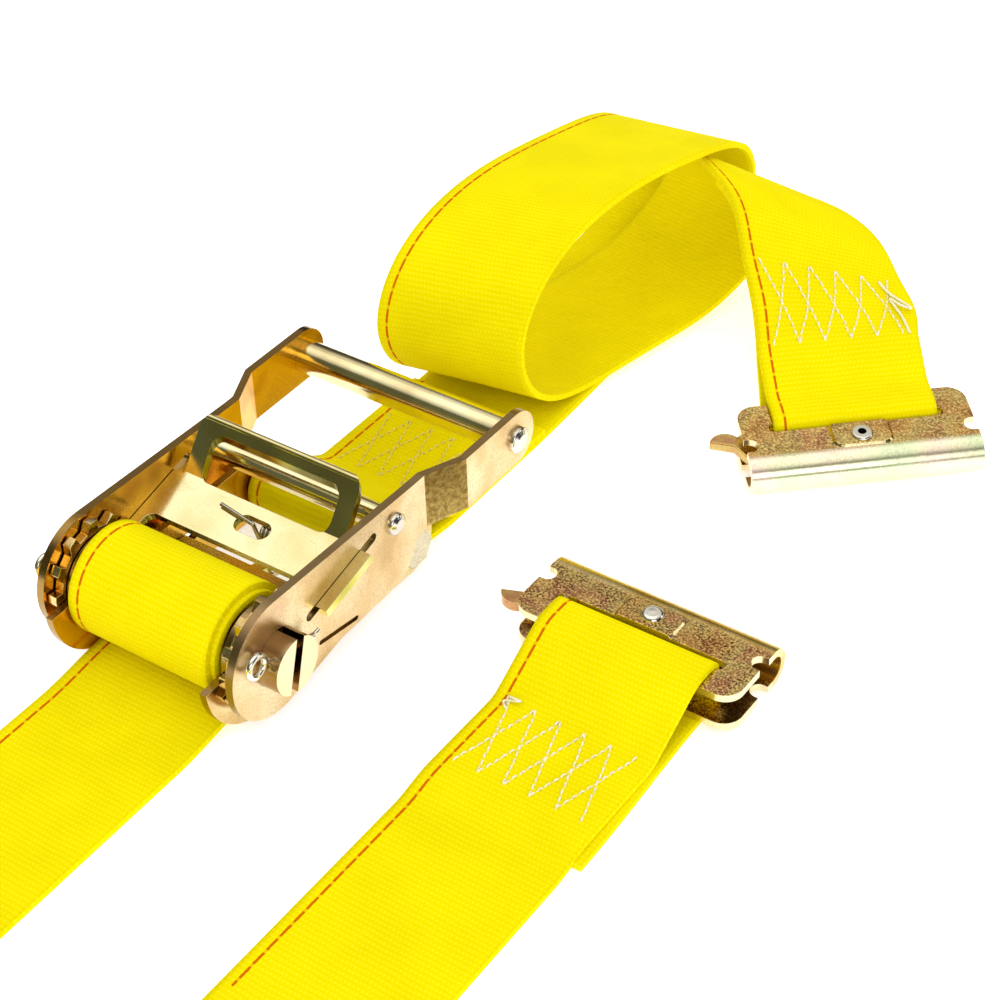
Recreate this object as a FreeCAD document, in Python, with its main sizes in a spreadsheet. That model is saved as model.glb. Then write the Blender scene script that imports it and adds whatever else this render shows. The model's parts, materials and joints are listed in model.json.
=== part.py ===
"""Two-inch ratchet tie down with two track fittings.  Millimetres, +Z up.

The ratchet's spool axis runs along X.  The grip lies towards +Y and the long strap leaves towards -Y.
Right is +X.  The floor is z = 0.  Shapes are drawn with the spool axis over the local origin, and every
sub-part is moved by the same step at the end, so that the model's origin is under the middle of its box.
"""
import FreeCAD, Part
import os
from math import cos, sin, radians, degrees, atan2, acos, hypot, pi
import Sketcher
from FreeCAD import Vector, Placement, Rotation

X_AXIS = Vector(1, 0, 0)
Y_AXIS = Vector(0, 1, 0)
Z_AXIS = Vector(0, 0, 1)

doc = FreeCAD.newDocument("ratchet_tie_down")
sheet = doc.addObject("Spreadsheet::Sheet", "dims")

DIMENSIONS = {
    # webbing
    "web_width": 50.0,
    "web_thick": 2.0,
    # places of the two main axes
    "spool_height": 22.0,
    "anchor_reach": 66.0,
    "anchor_height": 11.0,
    # side plates, from the inside out
    "frame_inner": 25.8,
    "frame_thick": 2.4,
    "gear_inner": 28.5,
    "gear_thick": 2.8,
    "handle_inner": 31.8,
    "handle_thick": 2.5,
    "handle_depth": 8.0,
    # frame plate outline
    "lobe_radius": 21.8,
    "cam_radius": 13.0,
    "tail_radius": 10.5,
    # spool
    "spool_radius": 8.6,
    "bore_radius": 8.65,
    "spool_slot": 3.0,
    "spool_reach": 41.0,
    "roll_radius": 17.3,
    "cotter_radius": 1.0,
    "cotter_place": 37.0,
    "cotter_offset": 3.0,
    # gear
    "gear_radius": 17.0,
    "root_radius": 14.2,
    "tooth_count": 12,
    # handle
    "handle_radius": 18.3,
    "jog_start": 66.6,
    "jog_end": 79.0,
    "jog_step": 5.5,
    "grip_reach": 103.5,
    "grip_height": 29.5,
    "grip_radius": 5.2,
    "grip_rod_radius": 3.0,
    "cross_reach": 52.4,
    "cross_height": 31.0,
    "cross_rod_radius": 2.4,
    "cross_tube_radius": 3.7,
    # pawls
    "driver_angle": 14.0,
    "driver_tip": 17.3,
    "driver_back": 38.3,
    "driver_thick": 2.5,
    "driver_ears": 76.4,
    "driver_width": 56.4,
    "driver_travel_in": 2.7,
    "driver_travel_out": 5.5,
    "lock_angle": -16.0,
    "lock_tip": 14.6,
    "lock_shoulder": 18.7,
    "lock_back": 33.0,
    "lock_thick": 2.4,
    "lock_travel": 4.0,
    # anchor bolt
    "bolt_radius": 4.0,
    "spacer_radius": 6.0,
    # track fitting
    "fitting_length": 70.0,
    "fitting_height": 12.5,
    "fitting_thick": 2.4,
    "nose_reach": 22.25,
    "slot_length": 53.0,
    "slot_front": 8.4,
    "slot_back": 11.9,
    "rivet_reach": 17.0,
    "rivet_radius": 2.2,
    "emboss_height": 0.8,
    # step from the spool's floor point to the middle of the whole object's box
    "origin_x": 71.5,
    "origin_y": 41.4,
}
for row, (alias, value) in enumerate(DIMENSIONS.items(), start=1):
    sheet.set(f"A{row}", alias)
    sheet.set(f"B{row}", str(value))
    sheet.setAlias(f"B{row}", alias)
doc.recompute()

parts = []


def dim(name):
    """A driving dimension, as the sheet holds it."""
    return float(sheet.get(name))


def polar(angle, radius, centre=(0.0, 0.0)):
    """The point at an angle in degrees and a radius from a centre, in a sketch's own two axes."""
    return centre[0] + radius * cos(radians(angle)), centre[1] + radius * sin(radians(angle))


# ---------------------------------------------------------------- sketch and feature helpers

def new_body(name, placement=None):
    body = doc.addObject("PartDesign::Body", name)
    body.Label = name
    if placement is not None:
        body.Placement = placement
    parts.append(body)
    return body


def new_sketch(body, name, plane, offset=0.0, bound=None):
    """A sketch on one of the body's own origin planes, lifted along the plane's normal."""
    base = next(f for f in body.Origin.OriginFeatures if f.Role == plane)
    sketch = body.newObject("Sketcher::SketchObject", f"{body.Label}_{name}")
    sketch.AttachmentSupport = [(base, "")]
    sketch.MapMode = "FlatFace"
    sketch.AttachmentOffset = Placement(Vector(0, 0, offset), Rotation())
    if bound:
        sketch.setExpression("AttachmentOffset.Base.z", bound)
    return sketch


def flat(point):
    return Vector(point[0], point[1], 0)


def draw(sketch, start, *steps):
    """A closed outline: each step is a point, or a pair (a point on the arc, its end)."""
    here = start
    for step in steps + (start,):
        if isinstance(step[0], tuple):
            on_arc, end = step
            sketch.addGeometry(Part.Arc(flat(here), flat(on_arc), flat(end)), False)
        else:
            end = step
            if hypot(end[0] - here[0], end[1] - here[1]) < 1e-6:
                continue
            sketch.addGeometry(Part.LineSegment(flat(here), flat(end)), False)
        here = end


def draw_circle(sketch, centre, alias):
    """A circle whose radius follows the sheet."""
    index = sketch.addGeometry(Part.Circle(flat(centre), Z_AXIS, dim(alias)), False)
    number = sketch.addConstraint(Sketcher.Constraint("Radius", index, dim(alias)))
    sketch.renameConstraint(number, f"{alias}_{number}")
    sketch.setExpression(f"Constraints.{alias}_{number}", f"dims.{alias}")


def draw_slot(sketch, start, end, radius):
    """A round-ended slot between two end centres."""
    turn = degrees(atan2(end[1] - start[1], end[0] - start[0]))
    a, b = polar(turn + 90, radius, start), polar(turn - 90, radius, start)
    c, d = polar(turn - 90, radius, end), polar(turn + 90, radius, end)
    draw(sketch, a, (polar(turn + 180, radius, start), b), c, (polar(turn, radius, end), d))


def draw_box(sketch, low, high):
    draw(sketch, low, (high[0], low[1]), high, (low[0], high[1]))


def pad(body, sketch, length, bound=None, midplane=False):
    feature = body.newObject("PartDesign::Pad", f"{sketch.Label}_pad")
    feature.Profile = sketch
    feature.Length = length
    feature.Midplane = midplane
    if bound:
        feature.setExpression("Length", bound)
    doc.recompute()
    return feature


def pocket(body, sketch):
    """A pocket right through the body, both ways from its sketch."""
    feature = body.newObject("PartDesign::Pocket", f"{sketch.Label}_pocket")
    feature.Profile = sketch
    feature.Type = 1
    feature.Midplane = True
    before = body.Shape.Volume
    doc.recompute()
    if not body.Shape.Volume < before - 0.01:
        raise RuntimeError(f"{feature.Name} cuts nothing")
    return feature


def tube(name, outer, inner, half, place):
    """A tube along X, middle at place; its radii and length follow the sheet."""
    solid = doc.addObject("Part::Cylinder", f"{name}_outside")
    hole = doc.addObject("Part::Cylinder", f"{name}_bore")
    for cylinder, radius, reach in ((solid, outer, half), (hole, inner, half + 1)):
        cylinder.setExpression("Radius", radius)
        cylinder.Height = 2 * reach
        cylinder.Placement = Placement(Vector(-reach, 0, 0), Rotation(Y_AXIS, 90))
    cut = doc.addObject("Part::Cut", name)
    cut.Base, cut.Tool = solid, hole
    cut.Label = name
    cut.Placement = Placement(place, Rotation())
    parts.append(cut)
    return cut


def rod(name, radius, half, head_radius, head_height, place):
    """A rod along X with a domed rivet head at each end."""
    body = new_body(name, Placement(place, Rotation()))
    sketch = new_sketch(body, "profile", "XY_Plane")
    tip = half + head_height
    side = (half + 0.55 * head_height, head_radius)
    draw(sketch, (-tip, 0), (-tip, 0.55 * head_radius), (-side[0], side[1]), (-half, head_radius),
         (-half, radius), (half, radius), (half, head_radius), side, (tip, 0.55 * head_radius), (tip, 0))
    turn = body.newObject("PartDesign::Revolution", f"{name}_turned")
    turn.Profile = sketch
    turn.ReferenceAxis = (sketch, ["H_Axis"])
    turn.Angle = 360
    doc.recompute()
    return body


def keep(name, shape, placement=None):
    """A sub-part whose shape is worked out here from the sheet's dimensions."""
    feature = doc.addObject("Part::Feature", name)
    feature.Label = name
    feature.Shape = shape
    if placement is not None:
        feature.Placement = placement
    parts.append(feature)
    return feature


SPOOL = Vector(0, 0, dim("spool_height"))
ANCHOR = Vector(0, dim("anchor_reach"), dim("anchor_height"))
GRIP = Vector(0, dim("grip_reach"), dim("grip_height"))
CROSS = Vector(0, dim("cross_reach"), dim("cross_height"))
SIDES = (("left", -1), ("right", 1))


def plate_start(side, inner, thick):
    """Where a plate's pad starts, and the same as an expression."""
    if side > 0:
        return dim(inner), f"dims.{inner}"
    return -dim(inner) - dim(thick), f"-dims.{inner} - dims.{thick}"


# ---------------------------------------------------------------- frame

def frame_plate(label, side):
    """Lobe under the spool, low cam arc over it, straight top, and a round tail at the anchor bolt."""
    body = new_body(f"frame_plate_{label}")
    sketch = new_sketch(body, "outline", "YZ_Plane", *plate_start(side, "frame_inner", "frame_thick"))
    spool = (0.0, SPOOL.z)
    anchor = (ANCHOR.y, ANCHOR.z)
    lobe, cam, tail = dim("lobe_radius"), dim("cam_radius"), dim("tail_radius")
    draw(sketch, polar(180, cam, spool),
         polar(181, lobe, spool), (polar(240, lobe, spool), polar(296, lobe, spool)),
         polar(262, tail, anchor), (polar(0, tail, anchor), polar(90, tail, anchor)),
         (34.0, SPOOL.z - 0.5), polar(2, cam, spool), (polar(90, cam, spool), polar(178, cam, spool)))
    draw_circle(sketch, spool, "bore_radius")
    draw_circle(sketch, anchor, "bolt_radius")
    angle = dim("lock_angle")
    draw_slot(sketch, polar(angle, dim("lock_shoulder"), spool),
              polar(angle, dim("lock_back") + dim("lock_travel"), spool), dim("lock_thick") / 2 + 0.2)
    pad(body, sketch, dim("frame_thick"), "dims.frame_thick")


def anchor_bolt():
    """Hexagon head, shank through both frame plates, and a plain end inside the nut."""
    body = new_body("anchor_bolt", Placement(ANCHOR, Rotation()))
    shank = new_sketch(body, "shank", "YZ_Plane", -31.0)
    draw_circle(shank, (0, 0), "bolt_radius")
    pad(body, shank, 60.0)
    head = new_sketch(body, "head", "YZ_Plane", 28.2)
    corners = [polar(60 * k, 6.4) for k in range(6)]
    draw(head, *corners)
    pad(body, head, 3.1)


def anchor_nut():
    body = new_body("anchor_nut", Placement(ANCHOR, Rotation()))
    sketch = new_sketch(body, "hexagon", "YZ_Plane", -31.2)
    draw(sketch, *[polar(60 * k + 30, 6.6) for k in range(6)])
    draw_circle(sketch, (0, 0), "bolt_radius")
    pad(body, sketch, 3.0)


def lock_pawl():
    """A flat plate: narrow fingers reach the gears, the middle stays clear of the wound strap."""
    tilt = Placement(SPOOL, Rotation(X_AXIS, dim("lock_angle")))
    body = new_body("lock_pawl", tilt)
    plate = new_sketch(body, "plate", "XY_Plane", -dim("lock_thick") / 2, "-dims.lock_thick / 2")
    ear = dim("gear_inner") + dim("gear_thick")
    draw_box(plate, (-ear, dim("lock_tip")), (ear, dim("lock_back")))
    pad(body, plate, dim("lock_thick"), "dims.lock_thick")
    middle = new_sketch(body, "middle", "XY_Plane")
    middle_half = dim("frame_inner") + dim("frame_thick") + 0.1
    draw_box(middle, (-middle_half, dim("lock_tip") - 2), (middle_half, dim("lock_shoulder")))
    pocket(body, middle)
    tongue = new_sketch(body, "tongue", "XY_Plane", -dim("lock_thick") / 2, "-dims.lock_thick / 2")
    draw_box(tongue, (-2.0, dim("lock_back") - 1), (2.0, dim("lock_back") + 8))
    pad(body, tongue, dim("lock_thick"), "dims.lock_thick")


def coil_spring(name, wire, mean, pitch, turns, placement):
    """A wire coil along local Z, swept along a helix."""
    helix = Part.makeHelix(pitch, pitch * turns, mean)
    ring = Part.Wire([Part.makeCircle(wire, Vector(mean, 0, 0), Y_AXIS)])
    coil = Part.Wire(helix.Edges).makePipeShell([ring], True, True)
    keep(name, coil, placement)


def lock_spring():
    """Compression coil round the lock pawl's tongue, drawn at its shortest."""
    along = dim("lock_back") + dim("lock_travel") + 0.8
    angle = radians(dim("lock_angle"))
    start = SPOOL + Vector(0, along * cos(angle), along * sin(angle))
    turn = Rotation(X_AXIS, dim("lock_angle") - 90)
    coil_spring("lock_pawl_spring", 0.5, 3.4, 2.0, 6, Placement(start, turn))


# ---------------------------------------------------------------- spool

SLOT_ANGLE = 74.0


def spool_half(label, turn):
    """A half-round bar; the two flats leave the webbing slot between them."""
    body = new_body(f"spool_half_{label}", Placement(SPOOL, Rotation(X_AXIS, SLOT_ANGLE + turn)))
    reach, radius, gap = dim("spool_reach"), dim("spool_radius"), dim("spool_slot") / 2
    sketch = new_sketch(body, "section", "YZ_Plane")
    rim = (radius ** 2 - gap ** 2) ** 0.5
    draw(sketch, (-rim, gap), (rim, gap), ((0, radius), (-rim, gap)))
    bar = pad(body, sketch, 2 * reach, "2 * dims.spool_reach", midplane=True)
    ends = new_sketch(body, "split_pin_hole", "XY_Plane")
    aside = dim("cotter_offset") * cos(radians(turn))
    for side in (-1, 1):
        draw_circle(ends, (side * dim("cotter_place"), aside), "cotter_radius")
    pocket(body, ends)
    return bar


def ratchet_gear(label, side):
    """Twelve saw teeth round a disc with two half-round holes for the spool bars."""
    body = new_body(f"ratchet_gear_{label}", Placement(SPOOL, Rotation()))
    disc = new_sketch(body, "disc", "YZ_Plane", *plate_start(side, "gear_inner", "gear_thick"))
    draw_circle(disc, (0, 0), "gear_radius")
    bore, web = dim("bore_radius"), dim("spool_slot") / 2 - 0.05
    rim = (bore ** 2 - web ** 2) ** 0.5
    for turn in (SLOT_ANGLE, SLOT_ANGLE + 180):
        across = [(-rim, web), (rim, web), (0, bore)]
        a, b, top = [polar(turn + degrees(atan2(v, u)), hypot(u, v)) for u, v in across]
        draw(disc, a, b, (top, a))
    pad(body, disc, dim("gear_thick"), "dims.gear_thick")
    valley = new_sketch(body, "valley", "YZ_Plane")
    outer, root, angle = dim("gear_radius") + 0.6, dim("root_radius"), dim("driver_angle")
    corners = [(outer, 2.1), (outer, -5.0), (root, -1.65), (root, 1.65)]
    draw(valley, *[polar(angle + degrees(atan2(v, u)), hypot(u, v)) for u, v in corners])
    cut = pocket(body, valley)
    ring = body.newObject("PartDesign::PolarPattern", f"ratchet_gear_{label}_teeth")
    ring.Originals = [cut]
    ring.Axis = (disc, ["N_Axis"])
    ring.Angle = 360
    ring.Occurrences = int(dim("tooth_count"))
    ring.setExpression("Occurrences", "dims.tooth_count")
    body.Tip = ring
    doc.recompute()


def cotter_pin(label, side):
    """Split pin: a straight shank through both bars and an eye on the far side from the grip."""
    turn = Rotation(X_AXIS, SLOT_ANGLE)
    aside = turn.multVec(Vector(0, dim("cotter_offset"), 0))
    place = SPOOL + Vector(side * dim("cotter_place"), 0, 0) + aside
    wire = dim("cotter_radius") - 0.02
    front, back, eye = dim("spool_radius") + 1.0, dim("spool_radius") + 2.6, 3.1
    shank = Part.makeCylinder(wire, front + back, Vector(0, 0, -back))
    ring = Part.makeTorus(eye, wire, Vector(0, 0, front + eye - 0.3), X_AXIS)
    leg = Part.makeCylinder(0.6 * wire, 3.0, Vector(0, 0, -back + 0.7), Vector(0.2, 0.6, -0.8))
    pin = shank.fuse([ring, leg]).removeSplitter()
    keep(f"cotter_pin_{label}", pin, Placement(place, turn))


def wound_strap():
    """The long strap's turns on the spool, and its end held in the slot."""
    body = new_body("long_strap_wound", Placement(SPOOL, Rotation()))
    ring = new_sketch(body, "turns", "YZ_Plane")
    draw_circle(ring, (0, 0), "roll_radius")
    draw_circle(ring, (0, 0), "bore_radius")
    pad(body, ring, dim("web_width"), "dims.web_width", midplane=True)
    strip = new_sketch(body, "slot_end", "YZ_Plane")
    half, reach = dim("web_thick") / 2, dim("bore_radius") + 0.5
    corners = [(-reach, -half), (reach, -half), (reach, half), (-reach, half)]
    draw(strip, *[polar(SLOT_ANGLE + degrees(atan2(v, u)), hypot(u, v)) for u, v in corners])
    pad(body, strip, dim("web_width"), "dims.web_width", midplane=True)


# ---------------------------------------------------------------- handle

def handle_plate(label, side):
    """Round end over the gear, deep middle with the pawl slot, outward jog, and the grip's end."""
    body = new_body(f"handle_plate_{label}")
    spool, grip, cross = (0.0, SPOOL.z), (GRIP.y, GRIP.z), (CROSS.y, CROSS.z)
    inner, thick, depth = dim("handle_inner"), dim("handle_thick"), dim("handle_depth")
    radius = dim("handle_radius")
    start = inner if side > 0 else -inner - depth
    bound = "dims.handle_inner" if side > 0 else "-dims.handle_inner - dims.handle_depth"
    outline = new_sketch(body, "outline", "YZ_Plane", start, bound)
    draw(outline, polar(88, radius, spool), (polar(180, radius, spool), polar(285, radius, spool)),
         (26.0, 8.6), (50.0, 9.2), ((55.5, 10.4), (58.5, 14.0)), ((61.5, 18.4), (67.0, 20.2)), (79.0, 21.0),
         polar(280, 8.6, grip), (polar(0, 8.6, grip), polar(88, 8.6, grip)), (62.0, 38.2))
    draw_circle(outline, spool, "bore_radius")
    draw_circle(outline, grip, "grip_rod_radius")
    draw_circle(outline, cross, "cross_rod_radius")
    angle = dim("driver_angle")
    first_end = polar(angle, dim("driver_tip") - dim("driver_travel_in"), spool)
    last_end = polar(angle, dim("driver_back") + dim("driver_travel_out"), spool)
    draw_slot(outline, first_end, last_end, dim("driver_thick") / 2 + 0.25)
    draw_slot(outline, (17.5, 13.6), (33.0, 10.9), 0.75)
    pad(body, outline, depth, "dims.handle_depth")
    plan = new_sketch(body, "jog", "XY_Plane")
    first, last, step = dim("jog_start"), dim("jog_end"), dim("jog_step")
    far = inner + depth + 1
    outside = [(inner + thick, -30), (inner + thick, first), (inner + thick + step, last), (far, last),
               (far, -30)]
    inside = [(inner - 1, first), (inner, first), (inner + step, last), (inner + step, 130),
              (inner - 1, 130)]
    for waste in (outside, inside):
        draw(plan, *[(side * x, y) for x, y in waste])
    pocket(body, plan)


def round_box(low, high, radius):
    """The corners of a box with rounded corners, as steps for draw."""
    mid = radius * (1 - sin(radians(45)))
    (u, v), (far_u, far_v) = low, high
    return [(u + radius, v), (far_u - radius, v), ((far_u - mid, v + mid), (far_u, v + radius)),
            (far_u, far_v - radius), ((far_u - mid, far_v - mid), (far_u - radius, far_v)),
            (u + radius, far_v), ((u + mid, far_v - mid), (u, far_v - radius)),
            (u, v + radius), ((u + mid, v + mid), (u + radius, v))]


LIP_RISE = 42.0
LIP_LENGTH = 17.0
LIP_WINDOW = ((-22.6, 38.2), (22.6, 49.3))


def driver_pawl():
    """Flat plate with ears through the handle slots, its rear bent up into an open finger pull."""
    tilt = Placement(SPOOL, Rotation(X_AXIS, dim("driver_angle")))
    body = new_body("driver_pawl", tilt)
    half, thick = dim("driver_thick") / 2, dim("driver_thick")
    tip, back = dim("driver_tip"), dim("driver_back")
    ears = new_sketch(body, "ears", "XY_Plane", -half, "-dims.driver_thick / 2")
    ear = dim("driver_ears") / 2
    draw_box(ears, (-ear, tip), (ear, back))
    pad(body, ears, thick, "dims.driver_thick")
    side = new_sketch(body, "finger_pull", "YZ_Plane")
    bend, sine, cosine = back + 1.9, sin(radians(LIP_RISE)), cos(radians(LIP_RISE))
    a = (bend, -half)
    b = (bend + LIP_LENGTH * cosine, -half + LIP_LENGTH * sine)
    c = polar(LIP_RISE + 90, thick * 0.8, b)
    d = (bend - thick * 0.8 * sine, half)
    rim = (polar(LIP_RISE + 30, thick * 0.7, b), c)
    draw(side, (back - 4, -half), a, b, rim, d, (back - 4, half))
    pad(body, side, dim("driver_width"), "dims.driver_width", midplane=True)
    wide = dim("driver_width") / 2
    front = new_sketch(body, "strap_room", "XY_Plane")
    draw(front, (-wide - 0.1, tip - 2), (wide + 0.1, tip - 2), (wide + 0.1, 19.8),
         ((wide - 0.7, 22.0), (wide - 2.9, 22.8)), (-wide + 2.9, 22.8),
         ((-wide + 0.7, 22.0), (-wide - 0.1, 19.8)))
    pocket(body, front)
    window = new_sketch(body, "window", "XY_Plane")
    draw(window, *round_box(*LIP_WINDOW, 3.4))
    pocket(body, window)
    corners = new_sketch(body, "corners", "XY_Plane")
    reach, round_off = b[0] + 0.8, 5.0
    for sign in (-1, 1):
        draw(corners, (sign * wide, reach - round_off), (sign * (wide + 1), reach - round_off),
             (sign * (wide + 1), reach + 2), (sign * (wide - round_off), reach + 2),
             (sign * (wide - round_off), reach),
             ((sign * (wide - 0.3 * round_off), reach - 0.3 * round_off), (sign * wide, reach - round_off)))
    pocket(body, corners)
    key = new_sketch(body, "keyhole", "XY_Plane")
    draw_slot(key, (-0.8, 31.3), (5.0, 31.3), 3.0)
    pocket(body, key)


def driver_spring():
    """Wire spring under the driver pawl; its hooked leg comes up through the keyhole."""
    tilt = Placement(SPOOL, Rotation(X_AXIS, dim("driver_angle")))
    wire, mean = 0.6, 2.6
    coil = Part.makeHelix(1.35, 1.35 * 5, mean)
    ring = Part.Wire([Part.makeCircle(wire, Vector(mean, 0, 0), Y_AXIS)])
    body = Part.Wire(coil.Edges).makePipeShell([ring], True, True)
    body.Placement = Placement(Vector(2.0, 34.6, -dim("driver_thick") / 2 - mean - wire - 0.35),
                               Rotation(Y_AXIS, 90))
    corners = [Vector(2.2, 32.0, -5.0), Vector(2.2, 31.8, 1.9), Vector(-10.5, 33.6, 1.95)]
    leg = Part.makeCylinder(wire, (corners[1] - corners[0]).Length, corners[0], corners[1] - corners[0])
    hook = Part.makeCylinder(wire, (corners[2] - corners[1]).Length, corners[1], corners[2] - corners[1])
    elbow = Part.makeSphere(wire, corners[1])
    keep("driver_pawl_spring", body.fuse([leg, hook, elbow]), tilt)


# ---------------------------------------------------------------- straps

def tangent(centre, radius, point, side):
    """Where the line from a point touches a circle, on the side given (+1 is to the left)."""
    away = hypot(point[0] - centre[0], point[1] - centre[1])
    base = degrees(atan2(point[1] - centre[1], point[0] - centre[0]))
    return polar(base + side * degrees(acos(radius / away)), radius, centre)


def settle(touch, end):
    """The middle of an arc that leaves a level line at touch and ends at end."""
    run, rise = end[0] - touch[0], end[1] - touch[1]
    radius = (run ** 2 + rise ** 2) / (2 * rise)
    half_turn = atan2(run, abs(radius) - abs(rise)) / 2
    return touch[0] + abs(radius) * sin(half_turn), touch[1] + radius * (1 - cos(half_turn))


def beside(start, end, distance):
    """The line from start to end, moved sideways to its left."""
    length = hypot(end[0] - start[0], end[1] - start[1])
    u, v = -(end[1] - start[1]) / length * distance, (end[0] - start[0]) / length * distance
    return (start[0] + u, start[1] + v), (end[0] + u, end[1] + v)


def crossing(first, second):
    """Where two lines cross, each given by two points; the second line's start when they run side by side."""
    (a, b), (c, d) = first, second
    p, q = (b[0] - a[0], b[1] - a[1]), (d[0] - c[0], d[1] - c[1])
    spread = p[0] * q[1] - p[1] * q[0]
    if abs(spread) < 1e-6:
        return c
    share = ((c[0] - a[0]) * q[1] - (c[1] - a[1]) * q[0]) / spread
    return a[0] + share * p[0], a[1] + share * p[1]


STACK_EDGE = -139.7


def long_strap_run():
    """From under the spool down to the floor and straight out to the put-away stack."""
    body = new_body("long_strap_run")
    sketch = new_sketch(body, "side", "YZ_Plane")
    under = SPOOL.z - dim("roll_radius") - 0.35
    thick = dim("web_thick")
    upper, lower, floor_top, floor = (-2.0, under), (-2.0, under - thick), (-32.0, thick), (-32.0, 0.0)
    draw(sketch, (2.0, under), upper, (settle(floor_top, upper), floor_top), (STACK_EDGE, thick),
         (STACK_EDGE, 0.0), floor, (settle(floor, lower), lower), (2.0, under - thick))
    pad(body, sketch, dim("web_width"), "dims.web_width", midplane=True)


HANK_LOW = (-25.0, -190.0, 0.0)
HANK_HIGH = (185.0, -140.0, 26.0)


def long_strap_hank():
    """The put-away length: runs folded back and forth on each other, with round folded ends."""
    body = new_body("long_strap_hank")
    sketch = new_sketch(body, "side", "XZ_Plane", -HANK_HIGH[1])
    soft = 3.0
    low, high = (HANK_LOW[0], HANK_LOW[2]), (HANK_HIGH[0], HANK_HIGH[2])
    turn = 0.3 * soft
    draw(sketch, (low[0] + soft, low[1]), (high[0] - soft, low[1]),
         ((high[0] - turn, low[1] + turn), (high[0], low[1] + soft)), (high[0], high[1] - soft),
         ((high[0] - turn, high[1] - turn), (high[0] - soft, high[1])), (low[0] + soft, high[1]),
         ((low[0] + turn, high[1] - turn), (low[0], high[1] - soft)), (low[0], low[1] + soft),
         ((low[0] + turn, low[1] + turn), (low[0] + soft, low[1])))
    pad(body, sketch, dim("web_width"), "dims.web_width")


LOWER = Vector(104.0, 57.0, 2.05)
STRAND_X = 104.0
STRAP_END = 33.0


def long_strap_fitting_run():
    """Down from the top of the stack, along the floor, with the sewn tail underneath near its end."""
    body = new_body("long_strap_fitting_run", Placement(Vector(STRAND_X, 0, 0), Rotation()))
    sketch = new_sketch(body, "side", "YZ_Plane")
    thick = dim("web_thick")
    top, middle = HANK_HIGH[2] - 0.6, (-114.5, 12.2)
    start, landing, below = (STACK_EDGE, top), (-90.0, thick), 2.15
    under = (middle[0] - 0.5, middle[1] - below)
    foot, heel = (landing[0], 0), (start[0], top - thick)
    draw(sketch, start, (settle(start, middle), middle), (settle(landing, middle), landing), (-8.0, thick),
         (2.0, 2 * thick), (STRAP_END, 2 * thick), (STRAP_END, 0), foot, (settle(foot, under), under),
         (settle(heel, under), heel))
    pad(body, sketch, dim("web_width"), "dims.web_width", midplane=True)


def strap_loop(name, mouth, placement):
    """A strap's end round the fitting's front strips.  mouth is where its two layers meet: low and high."""
    body = new_body(name, placement)
    sketch = new_sketch(body, "side", "YZ_Plane")
    thick, height = dim("web_thick"), dim("fitting_height")
    inner, outer = dim("slot_front") + 0.5, dim("slot_front") + 0.5 + thick
    low, high = mouth
    heel, brow = (-2.6, -thick), (-1.0, height + thick)
    draw(sketch, low, heel, (inner, -thick), ((inner + 1.4, -0.6 * thick), (outer, 0.0)), (outer, height),
         ((inner + 1.4, height + 0.6 * thick), (inner, height + thick)), brow, high)
    under, over = beside(low, heel, thick), beside(brow, high, thick)
    level_low, level_high = ((heel[0], 0.0), (0.0, 0.0)), ((brow[0], height), (0.0, height))
    draw(sketch, crossing(under, over), crossing(under, level_low), (inner, 0.0), (inner, height),
         crossing(over, level_high))
    pad(body, sketch, dim("web_width"), "dims.web_width", midplane=True)


UPPER_TURN = 42.3
UPPER_TILT = 6.0
UPPER_EDGE = Vector(101.0, 190.0, 1.5)
UPPER_MOUTH = ((-17.6, 18.2), (-15.6, 21.7))
LOWER_MOUTH = ((-23.7, -2.0), (-23.7, 2.0))


def upper_loop_placement():
    """The loop's own frame: +Y towards the upper fitting's nose, +Z up, leaning down to the nose's edge."""
    turn = Rotation(Z_AXIS, UPPER_TURN - 180)
    lean = Rotation(X_AXIS, -UPPER_TILT)
    nose = Vector(0, dim("nose_reach"), 0)
    return Placement(UPPER_EDGE + turn.multVec(nose - lean.multVec(nose)), turn.multiply(lean))


def mouth_station():
    """The short strap's last station: half a millimetre short of the mouth, level with its top layer."""
    (low_v, low_w), (high_v, high_w) = UPPER_MOUTH
    slant = hypot(high_v - low_v, high_w - low_w)
    up_v, up_w = (high_v - low_v) / slant, (high_w - low_w) / slant
    middle = slant - dim("web_thick") / 2
    local = Vector(0, low_v + up_v * middle - 0.5 * up_w, low_w + up_w * middle + 0.5 * up_v)
    place = upper_loop_placement().multVec(local)
    return (place.x, place.y, place.z, UPPER_TURN, 0)


ANCHOR_SEWN = 139.8


def short_strap_anchor_loop():
    """Round the anchor spacer, then two sewn layers along the floor."""
    body = new_body("short_strap_anchor_loop")
    sketch = new_sketch(body, "side", "YZ_Plane")
    centre, thick = (ANCHOR.y, ANCHOR.z), dim("web_thick")
    outer, inner = dim("spacer_radius") + 0.1 + thick, dim("spacer_radius") + 0.1
    high, low, tip = (92.0, 2 * thick), (90.0, 0.0), (86.0, thick + 0.05)
    outer_arc = (polar(180, outer, centre), tangent(centre, outer, low, -1))
    draw(sketch, tangent(centre, outer, high, 1), outer_arc, low, (ANCHOR_SEWN, 0.0),
         (ANCHOR_SEWN, 2 * thick), high)
    inner_arc = (polar(180, inner, centre), tangent(centre, inner, tip, -1))
    draw(sketch, tangent(centre, inner, tip, 1), inner_arc, tip)
    pad(body, sketch, dim("web_width"), "dims.web_width", midplane=True)


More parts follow.
